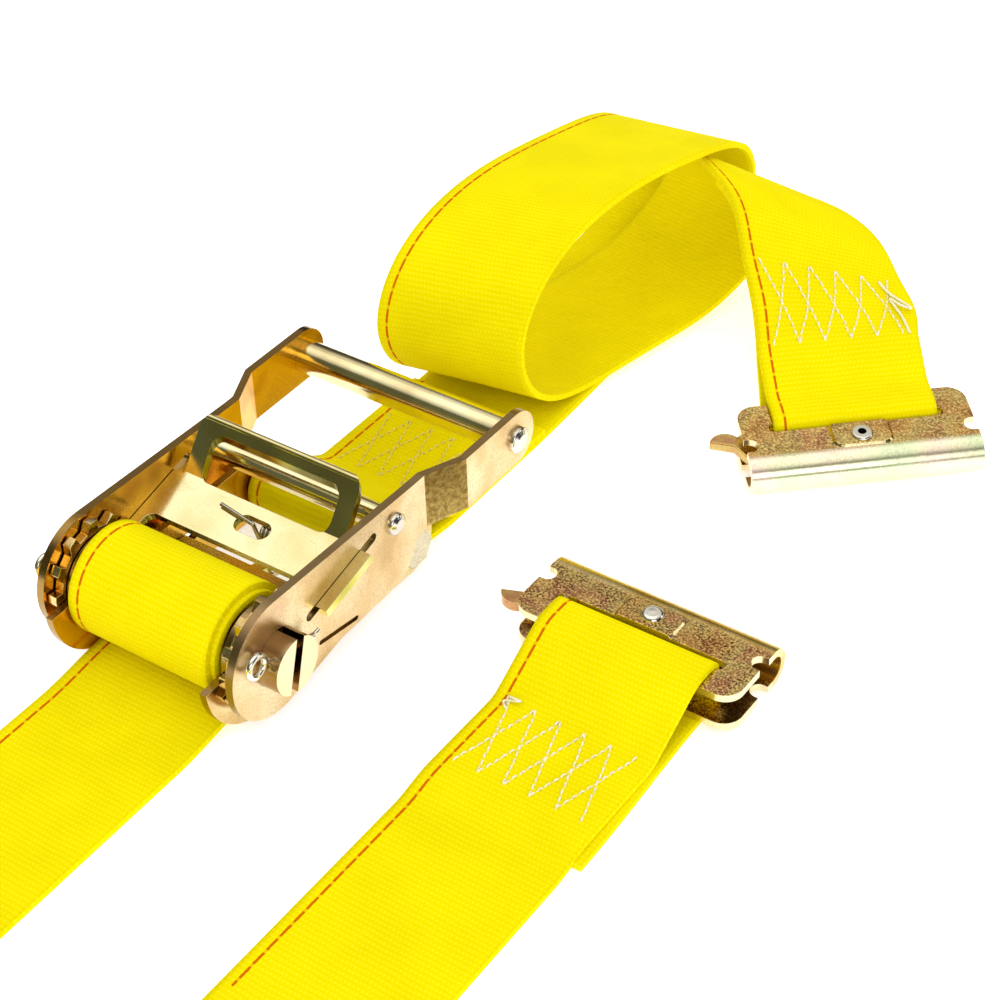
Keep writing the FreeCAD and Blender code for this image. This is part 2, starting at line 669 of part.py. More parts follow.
# Stations of the short strap's middle line: x, y, z, then the plan angle and the bank of its width.
FIRST_TURN = [
    (0, 140, 1.1, 0, 0), (-1, 170, 1.1, 0, 0), (-2, 205, 1.1, 0, 0), (-2, 238, 1.6, 1, 0),
    (-3, 257, 6, 2, 0), (-3, 267, 15, 3, 0), (-3, 270, 26, 4, 0), (-3, 265, 37, 5, 1), (-3, 253, 44.5, 5, 2),
    (-3, 234, 50, 5, 3), (-3, 211, 55, 6, 4), (-3, 187, 58.5, 7, 4), (-3, 166, 58.5, 8, 4),
    (-3, 148, 54, 8, 4), (-3, 136, 45.5, 8, 4), (-3, 130.5, 34, 8, 5), (-3, 133, 21, 6, 6),
    (-3, 142, 10.5, 3, 5), (-2, 157, 5, -1, 2),
]
SECOND_TURN = [
    (1, 180, 3.5, -6, 0), (6, 205, 3.5, -9, 0), (11, 231, 5, -9, 0), (15, 247, 12, -8, 0),
    (20, 255, 23, -5, -1), (25, 254.5, 34, -3, -2), (34, 248, 41.2, 1, -5.5), (47, 241, 43.2, 7, -7),
    (62, 232.5, 41, 11, -6), (74.5, 220.5, 34.8, 20, -4), (83.5, 212, 30.2, 31, -3),
]


def station_frame(station):
    x, y, z, plan, bank = station
    plan, bank = radians(plan), radians(bank)
    return Vector(x, y, z), Vector(cos(plan) * cos(bank), sin(plan) * cos(bank), sin(bank))


def smooth(stations, steps=2):
    """More stations between the given ones, on a Catmull-Rom curve through them."""
    result = []
    for index in range(len(stations) - 1):
        four = [stations[min(max(index + k, 0), len(stations) - 1)] for k in (-1, 0, 1, 2)]
        for step in range(steps):
            t = step / steps
            weights = (-t + 2 * t ** 2 - t ** 3, 2 - 5 * t ** 2 + 3 * t ** 3,
                       t + 4 * t ** 2 - 3 * t ** 3, -t ** 2 + t ** 3)
            result.append(tuple(sum(w * s[axis] for w, s in zip(weights, four)) / 2 for axis in range(5)))
    return result + [stations[-1]]


def strap_rings(stations):
    """The four corners of a flat strap's section at each station."""
    frames = [station_frame(s) for s in stations]
    half_width, half_thick = dim("web_width") / 2, dim("web_thick") / 2
    rings = []
    for index, (centre, across) in enumerate(frames):
        before, after = frames[max(index - 1, 0)][0], frames[min(index + 1, len(frames) - 1)][0]
        normal = across.cross(after - before).normalize()
        rings.append([centre + across * (u * half_width) + normal * (v * half_thick)
                      for u, v in ((-1, -1), (1, -1), (1, 1), (-1, 1))])
    return rings


def ribbon(rings):
    """A closed solid of plane triangles through the rings."""
    faces = []

    def quad(a, b, c, d):
        for corners in ((a, b, c, a), (a, c, d, a)):
            faces.append(Part.Face(Part.makePolygon(corners)))

    for ring, following in zip(rings, rings[1:]):
        for k in range(4):
            quad(ring[k], ring[(k + 1) % 4], following[(k + 1) % 4], following[k])
    quad(*reversed(rings[0]))
    quad(*rings[-1])
    solid = Part.makeSolid(Part.makeShell(faces))
    solid.fix(0.01, 0.01, 0.01)
    if solid.Volume < 0:
        solid.reverse()
    return solid


def short_strap():
    """The first turn from the anchor strand, then the second turn, inside it, out to the fitting."""
    mouth = mouth_station()
    rings = strap_rings(smooth(FIRST_TURN + SECOND_TURN + [mouth]))
    cut = 2 * (len(FIRST_TURN) - 1)
    keep("short_strap_first_turn", ribbon(rings[:cut + 1]))
    keep("short_strap_second_turn", ribbon(rings[cut:]))


# ---------------------------------------------------------------- track fittings

EMBOSS = ((-9.2, 10.5), (9.2, 21.6))
NOTCH_PLACE = 14.2


def fitting_body(name, placement):
    """Plate folded round a half-round nose, with hook notches, strap slots and a pressed pad at the rivet."""
    body = new_body(name, placement)
    height, thick, nose = dim("fitting_height"), dim("fitting_thick"), dim("nose_reach")
    half, mid = dim("fitting_length") / 2, height / 2
    inner = mid - thick
    section = new_sketch(body, "fold", "YZ_Plane")
    draw(section, (0, 0), (nose, 0), ((nose + mid, mid), (nose, height)), (0, height), (0, height - thick),
         (nose, height - thick), ((nose + inner, mid), (nose, thick)), (0, thick))
    pad(body, section, 2 * half, "dims.fitting_length", midplane=True)
    for side_name, level, reverse in (("under", 0.0, True), ("over", height, False)):
        raised = new_sketch(body, f"pad_{side_name}", "XY_Plane", level)
        draw(raised, *round_box(*EMBOSS, 3.0))
        press = body.newObject("PartDesign::Pad", f"{name}_pad_{side_name}")
        press.Profile = raised
        press.setExpression("Length", "dims.emboss_height")
        press.TaperAngle = -40
        press.Reversed = reverse
        doc.recompute()
    plan = new_sketch(body, "plan", "XY_Plane")
    lobe, notch = 5.5, 2.6
    deep = half - 1.2
    for side in (-1, 1):
        lobe_arc = ((side * (half - 0.3 * lobe), 0.3 * lobe), (side * (half - lobe), 0))
        draw(plan, (side * half, -1), (side * half, lobe), lobe_arc, (side * (half - lobe), -1))
        notch_arc = ((side * (deep - notch), NOTCH_PLACE + notch), (side * deep, NOTCH_PLACE + 2 * notch))
        draw(plan, (side * (half + 1), NOTCH_PLACE), (side * deep, NOTCH_PLACE), notch_arc,
             (side * (half + 1), NOTCH_PLACE + 2 * notch))
    front, back, wide = dim("slot_front"), dim("slot_back"), dim("slot_length") / 2
    end_radius, centre = (back - front) / 2, (front + back) / 2
    draw_slot(plan, (-wide + end_radius, centre), (wide - end_radius, centre), end_radius)
    draw_circle(plan, (0, dim("rivet_reach")), "rivet_radius")
    pocket(body, plan)


def fitting_latch(name, placement):
    """Lever between the plates; its pointed tongue sticks out at one end for the thumb."""
    body = new_body(name, placement)
    sketch = new_sketch(body, "lever", "XY_Plane", 4.6)
    pivot = dim("rivet_reach")
    draw(sketch, (-44.0, 8.6), ((-40.5, 5.6), (-36.5, 6.4)), (-31.5, 10.6), ((-29.0, 13.0), (-25.0, 13.2)),
         (4.0, 13.4), ((7.6, pivot), (4.0, pivot + 3.6)), (-24.0, 20.4), (-31.5, 19.8), (-34.6, 15.8),
         (-37.0, 11.4))
    hole = sketch.addGeometry(Part.Circle(Vector(0, pivot, 0), Z_AXIS, dim("rivet_radius") + 0.06), False)
    sketch.addConstraint(Sketcher.Constraint("Radius", hole, dim("rivet_radius") + 0.06))
    pad(body, sketch, 3.2)


def fitting_rivet(name, placement):
    """Tubular rivet: a domed head on one side, a rolled open end on the other."""
    body = new_body(name, placement)
    sketch = new_sketch(body, "profile", "XZ_Plane")
    radius, head, pipe = dim("rivet_radius"), 3.3, 1.3
    low, high = -dim("emboss_height"), dim("fitting_height") + dim("emboss_height")
    draw(sketch, (pipe, low - 0.8), (head - 0.7, low - 0.8), ((head - 0.15, low - 0.5), (head, low)),
         (radius, low), (radius, high), (head, high), ((head - 0.5, high + 0.7), (head - 1.6, high + 1.0)),
         (0, high + 1.1), (0, high - 1.0), (pipe, high - 1.0))
    turn = body.newObject("PartDesign::Revolution", f"{name}_turned")
    turn.Profile = sketch
    turn.ReferenceAxis = (sketch, ["V_Axis"])
    turn.Angle = 360
    doc.recompute()
    body.Placement = placement.multiply(Placement(Vector(0, dim("rivet_reach"), 0), Rotation()))


def fitting_spring(name, placement):
    """Torsion coil round the rivet, above the lever."""
    lift = Placement(Vector(0, dim("rivet_reach"), 8.25), Rotation())
    coil_spring(name, 0.4, 3.1, 0.9, 1.25, placement.multiply(lift))


def fitting(label, placement):
    fitting_body(f"fitting_{label}_body", placement)
    fitting_latch(f"fitting_{label}_latch", placement)
    fitting_rivet(f"fitting_{label}_rivet", placement)
    fitting_spring(f"fitting_{label}_spring", placement)


def upper_placement():
    """Upside down in the upper loop's frame, its nose on the floor side's edge."""
    over = Placement(Vector(0, 0, dim("fitting_height")), Rotation(Y_AXIS, 180))
    return upper_loop_placement().multiply(over)


def build():
    for label, side in SIDES:
        frame_plate(label, side)
    anchor_bolt()
    tube("anchor_spacer", "dims.spacer_radius", "dims.bolt_radius + 0.1", 25.7, ANCHOR)
    anchor_nut()
    lock_pawl()
    lock_spring()
    spool_half("front", 180)
    spool_half("rear", 0)
    for label, side in SIDES:
        ratchet_gear(label, side)
        cotter_pin(label, side)
    wound_strap()
    for label, side in SIDES:
        handle_plate(label, side)
    grip_face = dim("handle_inner") + dim("jog_step")
    tube("grip_tube", "dims.grip_radius", "dims.grip_rod_radius + 0.1", grip_face - 0.05, GRIP)
    rod("grip_rod", dim("grip_rod_radius"), grip_face + dim("handle_thick"), 4.0, 2.2, GRIP)
    cross_face = dim("handle_inner")
    tube("cross_rod_tube", "dims.cross_tube_radius", "dims.cross_rod_radius + 0.1", cross_face - 0.05, CROSS)
    rod("cross_rod", dim("cross_rod_radius"), cross_face + dim("handle_thick"), 3.3, 1.9, CROSS)
    driver_pawl()
    driver_spring()
    long_strap_run()
    long_strap_hank()
    long_strap_fitting_run()
    strap_loop("long_strap_fitting_loop", LOWER_MOUTH, Placement(LOWER, Rotation()))
    short_strap_anchor_loop()
    short_strap()
    strap_loop("short_strap_fitting_loop", UPPER_MOUTH, upper_loop_placement())
    fitting("lower", Placement(LOWER, Rotation()))
    fitting("upper", upper_placement())


def finish():
    """Move everything to the common origin, check every object, and write the files."""
    doc.recompute()
    step = Vector(-dim("origin_x"), -dim("origin_y"), 0)
    for part in parts:
        part.Placement = Placement(part.Placement.Base + step, part.Placement.Rotation)
    doc.recompute()
    for item in doc.Objects:
        bad = [state for state in item.State if state in ("Invalid", "Error")]
        if bad:
            raise RuntimeError(f"{item.Name} is {bad}")
    box = FreeCAD.BoundBox()
    for part in parts:
        if part.Shape.isNull() or not part.Shape.isValid():
            raise RuntimeError(f"{part.Label} has no valid shape")
        box.add(part.Shape.BoundBox)
    os.makedirs("parts", exist_ok=True)
    for part in parts:
        part.Shape.exportStep(f"parts/{part.Label}.step")
    print(f"{len(parts)} sub-parts, box {box.XMin:.2f} {box.YMin:.2f} {box.ZMin:.2f} to "
          f"{box.XMax:.2f} {box.YMax:.2f} {box.ZMax:.2f}")


build()
finish()
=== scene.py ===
"""Two-inch ratchet tie down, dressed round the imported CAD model.

Millimetres in the code, from the floor under the spool axis.  Metres in the scene.
"""
import json
import math
import random

import bmesh
import bpy
import numpy as np
from mathutils import Matrix, Vector


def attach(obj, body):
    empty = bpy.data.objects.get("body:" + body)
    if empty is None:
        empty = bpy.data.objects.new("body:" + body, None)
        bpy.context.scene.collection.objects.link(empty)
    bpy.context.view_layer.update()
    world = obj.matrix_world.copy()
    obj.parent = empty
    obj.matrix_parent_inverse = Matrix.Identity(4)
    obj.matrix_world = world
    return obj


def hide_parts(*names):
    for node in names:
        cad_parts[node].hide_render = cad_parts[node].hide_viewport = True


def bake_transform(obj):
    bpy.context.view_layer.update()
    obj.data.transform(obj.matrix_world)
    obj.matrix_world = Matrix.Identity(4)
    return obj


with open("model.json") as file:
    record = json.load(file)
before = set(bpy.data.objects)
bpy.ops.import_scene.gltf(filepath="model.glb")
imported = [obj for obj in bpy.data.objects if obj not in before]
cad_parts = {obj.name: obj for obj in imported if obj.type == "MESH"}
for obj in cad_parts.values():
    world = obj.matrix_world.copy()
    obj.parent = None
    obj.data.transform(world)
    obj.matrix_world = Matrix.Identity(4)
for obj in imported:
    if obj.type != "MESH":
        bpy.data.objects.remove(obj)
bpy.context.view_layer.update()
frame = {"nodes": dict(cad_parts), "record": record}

NODES = frame["nodes"]
JOINTS = {j["name"]: j for j in frame["record"]["behaviour"]["joints"]}
SPOOL = Vector(JOINTS["spool_hinge"]["pos_m"]) * 1000.0
random.seed(7)

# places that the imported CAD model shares
JOG = (66.6, 79.0)                      # where the handle plates step outwards, from the spool on
LOWER_EDGE = (104.0, 57.0, 2.05)        # the back edge of each track fitting's lower leaf
UPPER_EDGE = (101.0, 190.0, 1.5)
NOSE_REACH = 22.25                      # from a fitting's back edge to its nose
TURN, LEAN = math.radians(42.3), math.radians(6.0)
UPPER_NOSE = (math.sin(TURN) * math.cos(LEAN), -math.cos(TURN) * math.cos(LEAN), -math.sin(LEAN))
FLOOR = 1.0                             # the middle of a strap that lies on the floor


def at(x, y, z):
    """A point given from the floor under the spool axis, in the row frame."""
    return Vector(((SPOOL.x + x) / 1000, (SPOOL.y + y) / 1000, z / 1000))


# ---------------------------------------------------------------- node material helpers

class Nodes:
    """A material's node tree with short calls for what the materials below need."""

    def __init__(self, name):
        self.material = bpy.data.materials.new(name)
        self.material.use_nodes = True
        self.tree = self.material.node_tree
        self.shader = self.tree.nodes["Principled BSDF"]

    def add(self, kind, **values):
        node = self.tree.nodes.new("ShaderNode" + kind)
        for key, value in values.items():
            setattr(node, key, value)
        return node

    def link(self, source, target):
        self.tree.links.new(source, target)

    def put(self, socket, value):
        if isinstance(value, bpy.types.NodeSocket):
            self.link(value, socket)
        else:
            socket.default_value = value

    def math(self, operation, a, b=0.0, c=0.0, clamp=False):
        node = self.add("Math", operation=operation, use_clamp=clamp)
        for socket, value in zip(node.inputs, (a, b, c)):
            self.put(socket, value)
        return node.outputs[0]

    def mix(self, factor, a, b, blend="MIX"):
        node = self.add("Mix", data_type="RGBA", blend_type=blend)
        self.put(node.inputs[0], factor)
        self.put(node.inputs[6], a if isinstance(a, bpy.types.NodeSocket) else (*a, 1))
        self.put(node.inputs[7], b if isinstance(b, bpy.types.NodeSocket) else (*b, 1))
        return node.outputs[2]

    def noise(self, vector, scale, detail=2.0, rough=0.5):
        node = self.add("TexNoise")
        self.link(vector, node.inputs["Vector"])
        node.inputs["Scale"].default_value = scale
        node.inputs["Detail"].default_value = detail
        node.inputs["Roughness"].default_value = rough
        return node.outputs["Fac"]

    def ramp(self, factor, *stops):
        node = self.add("ValToRGB")
        self.link(factor, node.inputs[0])
        elements = node.color_ramp.elements
        while len(elements) < len(stops):
            elements.new(0.5)
        for element, (place, colour) in zip(elements, stops):
            element.position = place
            element.color = (*colour, 1) if isinstance(colour, tuple) else (colour,) * 3 + (1,)
        return node.outputs[0]

    def bump(self, height, strength, distance):
        node = self.add("Bump")
        node.inputs["Strength"].default_value = strength
        node.inputs["Distance"].default_value = distance
        self.link(height, node.inputs["Height"])
        self.link(node.outputs[0], self.shader.inputs["Normal"])

    def normal_along(self, way):
        """How far the surface faces along a direction of the object's own axes, either way: 0 to 1."""
        node = self.add("VectorMath", operation="DOT_PRODUCT")
        self.link(self.add("TexCoord").outputs["Normal"], node.inputs[0])
        node.inputs[1].default_value = way
        return self.math("ABSOLUTE", node.outputs["Value"])


class WorldNodes(Nodes):
    """The same short calls for the world's node tree."""

    def __init__(self, name):
        self.world = bpy.data.worlds.new(name)
        self.world.use_nodes = True
        self.tree = self.world.node_tree
        self.shader = self.tree.nodes["Background"]


# painted light at edges: the first colour is shade on faces that turn away from a part's flats, the second a
# cream highlight on a track fitting's edges
EDGE_SHADE, EDGE_HIGHLIGHT = (0.27, 0.17, 0.065), (0.90, 0.80, 0.50)
# painted reflection: olive colours for the pawls' steep faces
OLIVE_REFLECTION = [(0.38, (0.20, 0.19, 0.02)), (0.50, (0.62, 0.58, 0.07)), (0.62, (0.95, 0.92, 0.40))]
# painted sheen for each track fitting's fold, in hues of its own for each fitting
NOSE_SHEEN = {
    "zinc_fitting_lower": [(0.80, 0.52, 0.14), (0.88, 0.62, 0.24), (0.74, 0.50, 0.13), (0.86, 0.68, 0.32)],
    "zinc_fitting_upper": [(0.84, 0.78, 0.50), (0.92, 0.74, 0.62), (0.90, 0.84, 0.58), (0.74, 0.82, 0.52)],
}


def plated(name, colours, rough, speckle=0.0, speckle_colour=(0.2, 0.1, 0.05), size=38.0, dents=0.04,
           jog=False, painted_edge_shade=False, nose=None, lip=False):
    """Plated steel: drifting interference tints, fine grain, faint scratches and dull patches.

    jog marks a darker olive-brown panel where the handle plate steps outwards; the edge flag paints shade on
    the faces that turn away from a part's flats; nose paints glints, a cream highlight on the edges and a
    sheen on the fold of a track fitting;
    and lip paints an olive reflection on the pawls' steep faces, meant for the driver pawl's finger pull.
    """
    n = Nodes(name)
    place = n.add("TexCoord").outputs["Object"]
    drift = n.noise(place, size, 3.0, 0.55)
    stops = [(0.30 + 0.40 * i / (len(colours) - 1), c) for i, c in enumerate(colours)]
    colour = n.ramp(drift, *stops)
    grain = n.noise(place, 1500.0, 2.0, 0.6)
    if speckle:
        spots = n.ramp(grain, (0.46, 0.0), (0.60, 1.0))
        patches = n.ramp(n.noise(place, 190.0, 3.0), (0.34, 0.45), (0.6, 1.0))
        amount = n.math("MULTIPLY", n.math("MULTIPLY", spots, patches), speckle)
        colour = n.mix(amount, colour, speckle_colour)
    stretch = n.add("Mapping")
    n.link(place, stretch.inputs["Vector"])
    stretch.inputs["Scale"].default_value = (160.0, 900.0, 900.0)
    scratch = n.ramp(n.noise(stretch.outputs[0], 1.0, 3.0, 0.7), (0.62, 0.0), (0.74, 1.0))
    colour = n.mix(n.math("MULTIPLY", scratch, 0.22), colour, (0.42, 0.30, 0.16))
    if jog:
        split = n.add("SeparateXYZ")
        n.link(place, split.inputs[0])
        inverse = NODES["handle_plate_right"].matrix_world.inverted()
        low, high = [(inverse @ at(0, y, 0)).y for y in JOG]
        panel = n.math("MULTIPLY", n.math("GREATER_THAN", split.outputs[1], low),
                       n.math("LESS_THAN", split.outputs[1], high))
        # a darker olive-brown panel where the plate steps outwards
        jog_panel_tint = n.ramp(n.noise(place, 700.0, 3.0, 0.7), (0.38, (0.30, 0.19, 0.05)), (0.62, (0.60, 0.46, 0.15)))
        colour = n.mix(panel, colour, jog_panel_tint)
    if nose:
        origin, way, face = nose
        lean = n.add("VectorMath", operation="DOT_PRODUCT")
        n.link(place, lean.inputs[0])
        lean.inputs[1].default_value = way
        reach = n.math("MULTIPLY", n.math("SUBTRACT", lean.outputs["Value"], origin), 1000.0)
        # painted glints: fine bright gold flecks of highlight
        glint = n.ramp(grain, (0.36, 1.0), (0.45, 0.0))
        colour = n.mix(n.math("MULTIPLY", glint, 0.70), colour, (0.98, 0.74, 0.28))
        # painted highlight: edge faces that turn away from the fitting's flats are lightened to cream
        rim = n.ramp(n.normal_along(face), (0.35, 1.0), (0.85, 0.0))
        colour = n.mix(n.math("MULTIPLY", rim, 0.85), colour, EDGE_HIGHLIGHT)
        # painted sheen: past the fold line the colour becomes a drifting sheen, with a little of the speckle
        folded = n.ramp(n.math("DIVIDE", reach, 40.0), (20.9 / 40, 0.0), (22.6 / 40, 1.0))
        sheen = n.ramp(n.noise(place, 30.0, 2.0), *zip((0.36, 0.46, 0.54, 0.62), NOSE_SHEEN[name]))
        colour = n.mix(folded, colour, n.mix(n.math("MULTIPLY", amount, 0.25), sheen, speckle_colour))
    if painted_edge_shade:
        # painted shade: faces that turn away from the flats are darkened towards brown
        rim = n.ramp(n.normal_along((1, 0, 0)), (0.30, 1.0), (0.62, 0.0))
        colour = n.mix(n.math("MULTIPLY", rim, 0.85), colour, EDGE_SHADE)
    if lip:
        # painted reflection: the pawls' steep faces are turned olive
        upright = n.ramp(n.normal_along((0, 0, 1)), (0.40, 1.0), (0.70, 0.0))
        colour = n.mix(n.math("MULTIPLY", upright, 0.9), colour, n.ramp(n.noise(place, 45.0, 1.0), *OLIVE_REFLECTION))
    n.link(colour, n.shader.inputs["Base Color"])
    n.shader.inputs["Metallic"].default_value = 1.0
    dull = n.math("MULTIPLY_ADD", n.noise(place, 70.0, 4.0), 0.14, rough - 0.05)
    n.link(n.math("MULTIPLY_ADD", scratch, 0.12, dull), n.shader.inputs["Roughness"])
    relief = n.math("MULTIPLY_ADD", grain, 0.35, n.noise(place, 260.0, 2.0))
    n.bump(relief, dents, 0.0004)
    return n.material


RIB, END, DASH = 1.6, 1.3, 5.2          # millimetres from rib to rib, warp end to warp end and dash to dash
MARKER = 21.4                           # the marker thread's place from the middle
MARKER_RED = (0.56, 0.125, 0.002)


def webbing_material(name, body, valley_shade, crest_highlight):
    """Ribbed polyester: weft ribs crossed by warp ends, with a dashed marker thread near the left edge,
    painted shade in the weave's valleys and a painted highlight on its crests.

    The strap attribute holds the place across and along in millimetres, and which face it is: 1 is the
    marked one.
    """
    n = Nodes(name)
    split = n.add("SeparateXYZ")
    n.link(n.add("Attribute", attribute_name="strap").outputs["Vector"], split.inputs[0])
    across, along = split.outputs[0], split.outputs[1]
    place = n.add("CombineXYZ")
    n.link(across, place.inputs[0])
    n.link(along, place.inputs[1])
    wander = n.math("MULTIPLY", n.math("SUBTRACT", n.noise(place.outputs[0], 0.11, 2.0), 0.5), 1.1)
    rib_phase = n.math("MULTIPLY", n.math("ADD", along, wander), math.pi / RIB)
    rib = n.math("ABSOLUTE", n.math("SINE", rib_phase))
    row = n.math("FLOOR", n.math("DIVIDE", rib_phase, math.pi))
    shift = n.math("MULTIPLY", n.math("MODULO", row, 2.0), math.pi)
    end_phase = n.math("MULTIPLY_ADD", across, 2 * math.pi / END, shift)
    end = n.math("MULTIPLY_ADD", n.math("SINE", end_phase), 0.5, 0.5)
    fuzz = n.noise(place.outputs[0], 2.4, 3.0, 0.65)
    yarn = n.math("MULTIPLY", n.math("POWER", rib, 0.7), n.math("MULTIPLY_ADD", end, 0.34, 0.66))
    height = n.math("MULTIPLY_ADD", fuzz, 0.30, yarn)
    # painted shade in the weave's valleys and a painted highlight on its crests
    colour = n.ramp(height, (0.05, valley_shade), (0.40, body), (0.95, body), (1.0, crest_highlight))
    soil = n.ramp(n.noise(place.outputs[0], 0.05, 3.0), (0.35, 0.93), (0.65, 1.0))
    colour = n.mix(1.0, colour, soil, "MULTIPLY")
    off_line = n.math("ABSOLUTE", n.math("ADD", across, MARKER))
    on_line = n.math("LESS_THAN", off_line, n.math("MULTIPLY_ADD", fuzz, 0.45, 0.16))
    on_line = n.math("MULTIPLY", on_line, n.math("GREATER_THAN", split.outputs[2], 0.5))
    beat = n.math("FRACT", n.math("DIVIDE", n.math("ADD", along, wander), DASH))
    dash = n.math("LESS_THAN", beat, 0.80)
    thread = n.math("MULTIPLY", on_line, n.math("MULTIPLY_ADD", dash, 0.62, 0.38))
    colour = n.mix(thread, colour, MARKER_RED)
    groove = n.math("LESS_THAN", n.math("ABSOLUTE", n.math("SUBTRACT", off_line, 0.9)), 0.28)
    n.link(colour, n.shader.inputs["Base Color"])
    n.shader.inputs["Roughness"].default_value = 0.72
    n.shader.inputs["Specular IOR Level"].default_value = 0.01
    raised = n.math("MULTIPLY_ADD", thread, 0.5, height)
    n.bump(n.math("SUBTRACT", raised, n.math("MULTIPLY", groove, 0.5)), 0.34, 0.00022)
    return n.material


def thread_material(name, dark, light):
    """Twisted polyester thread."""
    n = Nodes(name)
    place = n.add("TexCoord").outputs["Object"]
    twist = n.noise(place, 1900.0, 2.0)
    n.link(n.ramp(twist, (0.3, dark), (0.7, light)), n.shader.inputs["Base Color"])
    n.shader.inputs["Roughness"].default_value = 0.6
    n.bump(twist, 0.4, 0.0002)
    return n.material


def nose_of(node, start, way):
    """A fitting in its node's own axes.

    Gives where its back edge lies along the way to the nose, that way, and the way its flat faces.
    """
    inverse = NODES[node].matrix_world.inverted()
    local = (inverse.to_3x3() @ Vector(way)).normalized()
    side = Vector(way).cross(Vector((0, 0, 1)))
    face = (inverse.to_3x3() @ side.cross(Vector(way))).normalized()
    return (inverse @ at(*start)).dot(local), local, face


PALE = [(0.46, 0.36, 0.12), (0.74, 0.64, 0.30), (0.90, 0.82, 0.48), (0.62, 0.60, 0.26)]
TAN = [(0.56, 0.37, 0.14), (0.76, 0.54, 0.26), (0.84, 0.68, 0.40), (0.74, 0.50, 0.31)]
# plating tints pushed to orange: partly the plating's own tint, partly a painted reflection of the yellow
# webbing
ORANGE_REFLECTED = [(0.58, 0.27, 0.02), (0.92, 0.52, 0.05), (0.80, 0.46, 0.06), (0.94, 0.66, 0.20)]
GOLD = [(0.40, 0.24, 0.08), (0.70, 0.48, 0.18), (0.84, 0.70, 0.36), (0.66, 0.38, 0.20)]
BROWN = [(0.44, 0.20, 0.06), (0.68, 0.40, 0.12), (0.60, 0.46, 0.15), (0.54, 0.25, 0.12), (0.76, 0.50, 0.17)]
CREAM = [(0.66, 0.52, 0.26), (0.86, 0.76, 0.44), (0.92, 0.86, 0.60)]
SILVER = [(0.55, 0.51, 0.43), (0.78, 0.75, 0.68), (0.84, 0.82, 0.75)]
ROSE = [(0.50, 0.34, 0.14), (0.80, 0.68, 0.38), (0.86, 0.66, 0.42)]

MATERIALS = {
    "handle": plated("zinc_handle", TAN, 0.29, 0.30, (0.34, 0.20, 0.08), jog=True, painted_edge_shade=True),
    # the far plates are the same plating as the near ones, pushed to orange: painted reflection of the yellow
    # webbing on their inner faces
    "handle_far": plated("zinc_handle_far", ORANGE_REFLECTED, 0.20, 0.25, (0.30, 0.15, 0.04), painted_edge_shade=True),
    "frame": plated("zinc_frame", GOLD, 0.17, 0.20, painted_edge_shade=True),
    "frame_far": plated("zinc_frame_far", ORANGE_REFLECTED, 0.18, 0.20, painted_edge_shade=True),
    "gear": plated("zinc_gear", GOLD, 0.14, 0.25, (0.10, 0.05, 0.02), 90.0),
    "pawl": plated("zinc_pawl", PALE, 0.16, 0.10, (0.30, 0.22, 0.08), 24.0, lip=True),
    "tube": plated("zinc_tube", CREAM, 0.13),
    "spool": plated("zinc_spool", ROSE, 0.15, painted_edge_shade=True),
    "fitting_lower": plated("zinc_fitting_lower", BROWN, 0.24, 1.0, (0.11, 0.035, 0.015), 55.0, 0.10,
                            nose=nose_of("fitting_lower_body", LOWER_EDGE, (0.0, 1.0, 0.0))),
    "fitting_upper": plated("zinc_fitting_upper", BROWN, 0.22, 0.8, (0.16, 0.08, 0.03), 55.0, 0.08,
                            nose=nose_of("fitting_upper_body", UPPER_EDGE, UPPER_NOSE)),
    "latch": plated("zinc_latch", BROWN, 0.20, 0.35, (0.24, 0.14, 0.06), 60.0),
    "bolt": plated("zinc_bolt", [(0.50, 0.42, 0.28), (0.72, 0.66, 0.46)], 0.24, 0.35, (0.30, 0.20, 0.10)),
    "bright": plated("zinc_bright", SILVER, 0.14),
    "spring": plated("spring_wire", [(0.34, 0.30, 0.24), (0.66, 0.60, 0.48)], 0.22),
}
NODE_MATERIALS = {
    "handle": ("handle_plate_right",),
    "handle_far": ("handle_plate_left",),
    "frame": ("frame_plate_right", "anchor_spacer"),
    "frame_far": ("frame_plate_left",),
    "gear": ("ratchet_gear_left", "ratchet_gear_right"),
    "pawl": ("driver_pawl", "lock_pawl"),
    "tube": ("grip_tube", "cross_rod_tube"),
    "spool": ("spool_half_front", "spool_half_rear"),
    "fitting_lower": ("fitting_lower_body",),
    "fitting_upper": ("fitting_upper_body",),
    "latch": ("fitting_lower_latch", "fitting_upper_latch"),
    "bolt": ("anchor_bolt", "anchor_nut"),
    "bright": ("grip_rod", "cross_rod", "cotter_pin_left", "cotter_pin_right",
               "fitting_lower_rivet", "fitting_upper_rivet"),
    "spring": ("lock_pawl_spring", "driver_pawl_spring", "fitting_lower_spring", "fitting_upper_spring"),
}
BEVELS = {
    **dict.fromkeys(("handle", "handle_far", "frame", "frame_far"), 0.35),
    **dict.fromkeys(("gear", "pawl"), 0.30),
    **dict.fromkeys(("spool", "fitting_lower", "fitting_upper", "latch"), 0.40),
}


def dress(node, key):
    """The node's finish, with its sharp edges broken as pressing and tumbling leave them."""
    obj = NODES[node]
    for place in obj.material_slots:
        place.link = "OBJECT"
        place.material = MATERIALS[key]
    weld = obj.modifiers.new("weld", "WELD")
    weld.merge_threshold = 0.000002
    if key in BEVELS:
        merge = obj.modifiers.new("whole_faces", "DECIMATE")
        merge.decimate_type = "DISSOLVE"
        merge.angle_limit = math.radians(0.6)
        bevel = obj.modifiers.new("edges", "BEVEL")
        bevel.width = BEVELS[key] / 1000
        bevel.segments = 2
        bevel.limit_method = "ANGLE"
        bevel.angle_limit = math.radians(40)
        bevel.use_clamp_overlap = True
    level = obj.modifiers.new("flats", "WEIGHTED_NORMAL")
    level.keep_sharp = True
    level.weight = 80


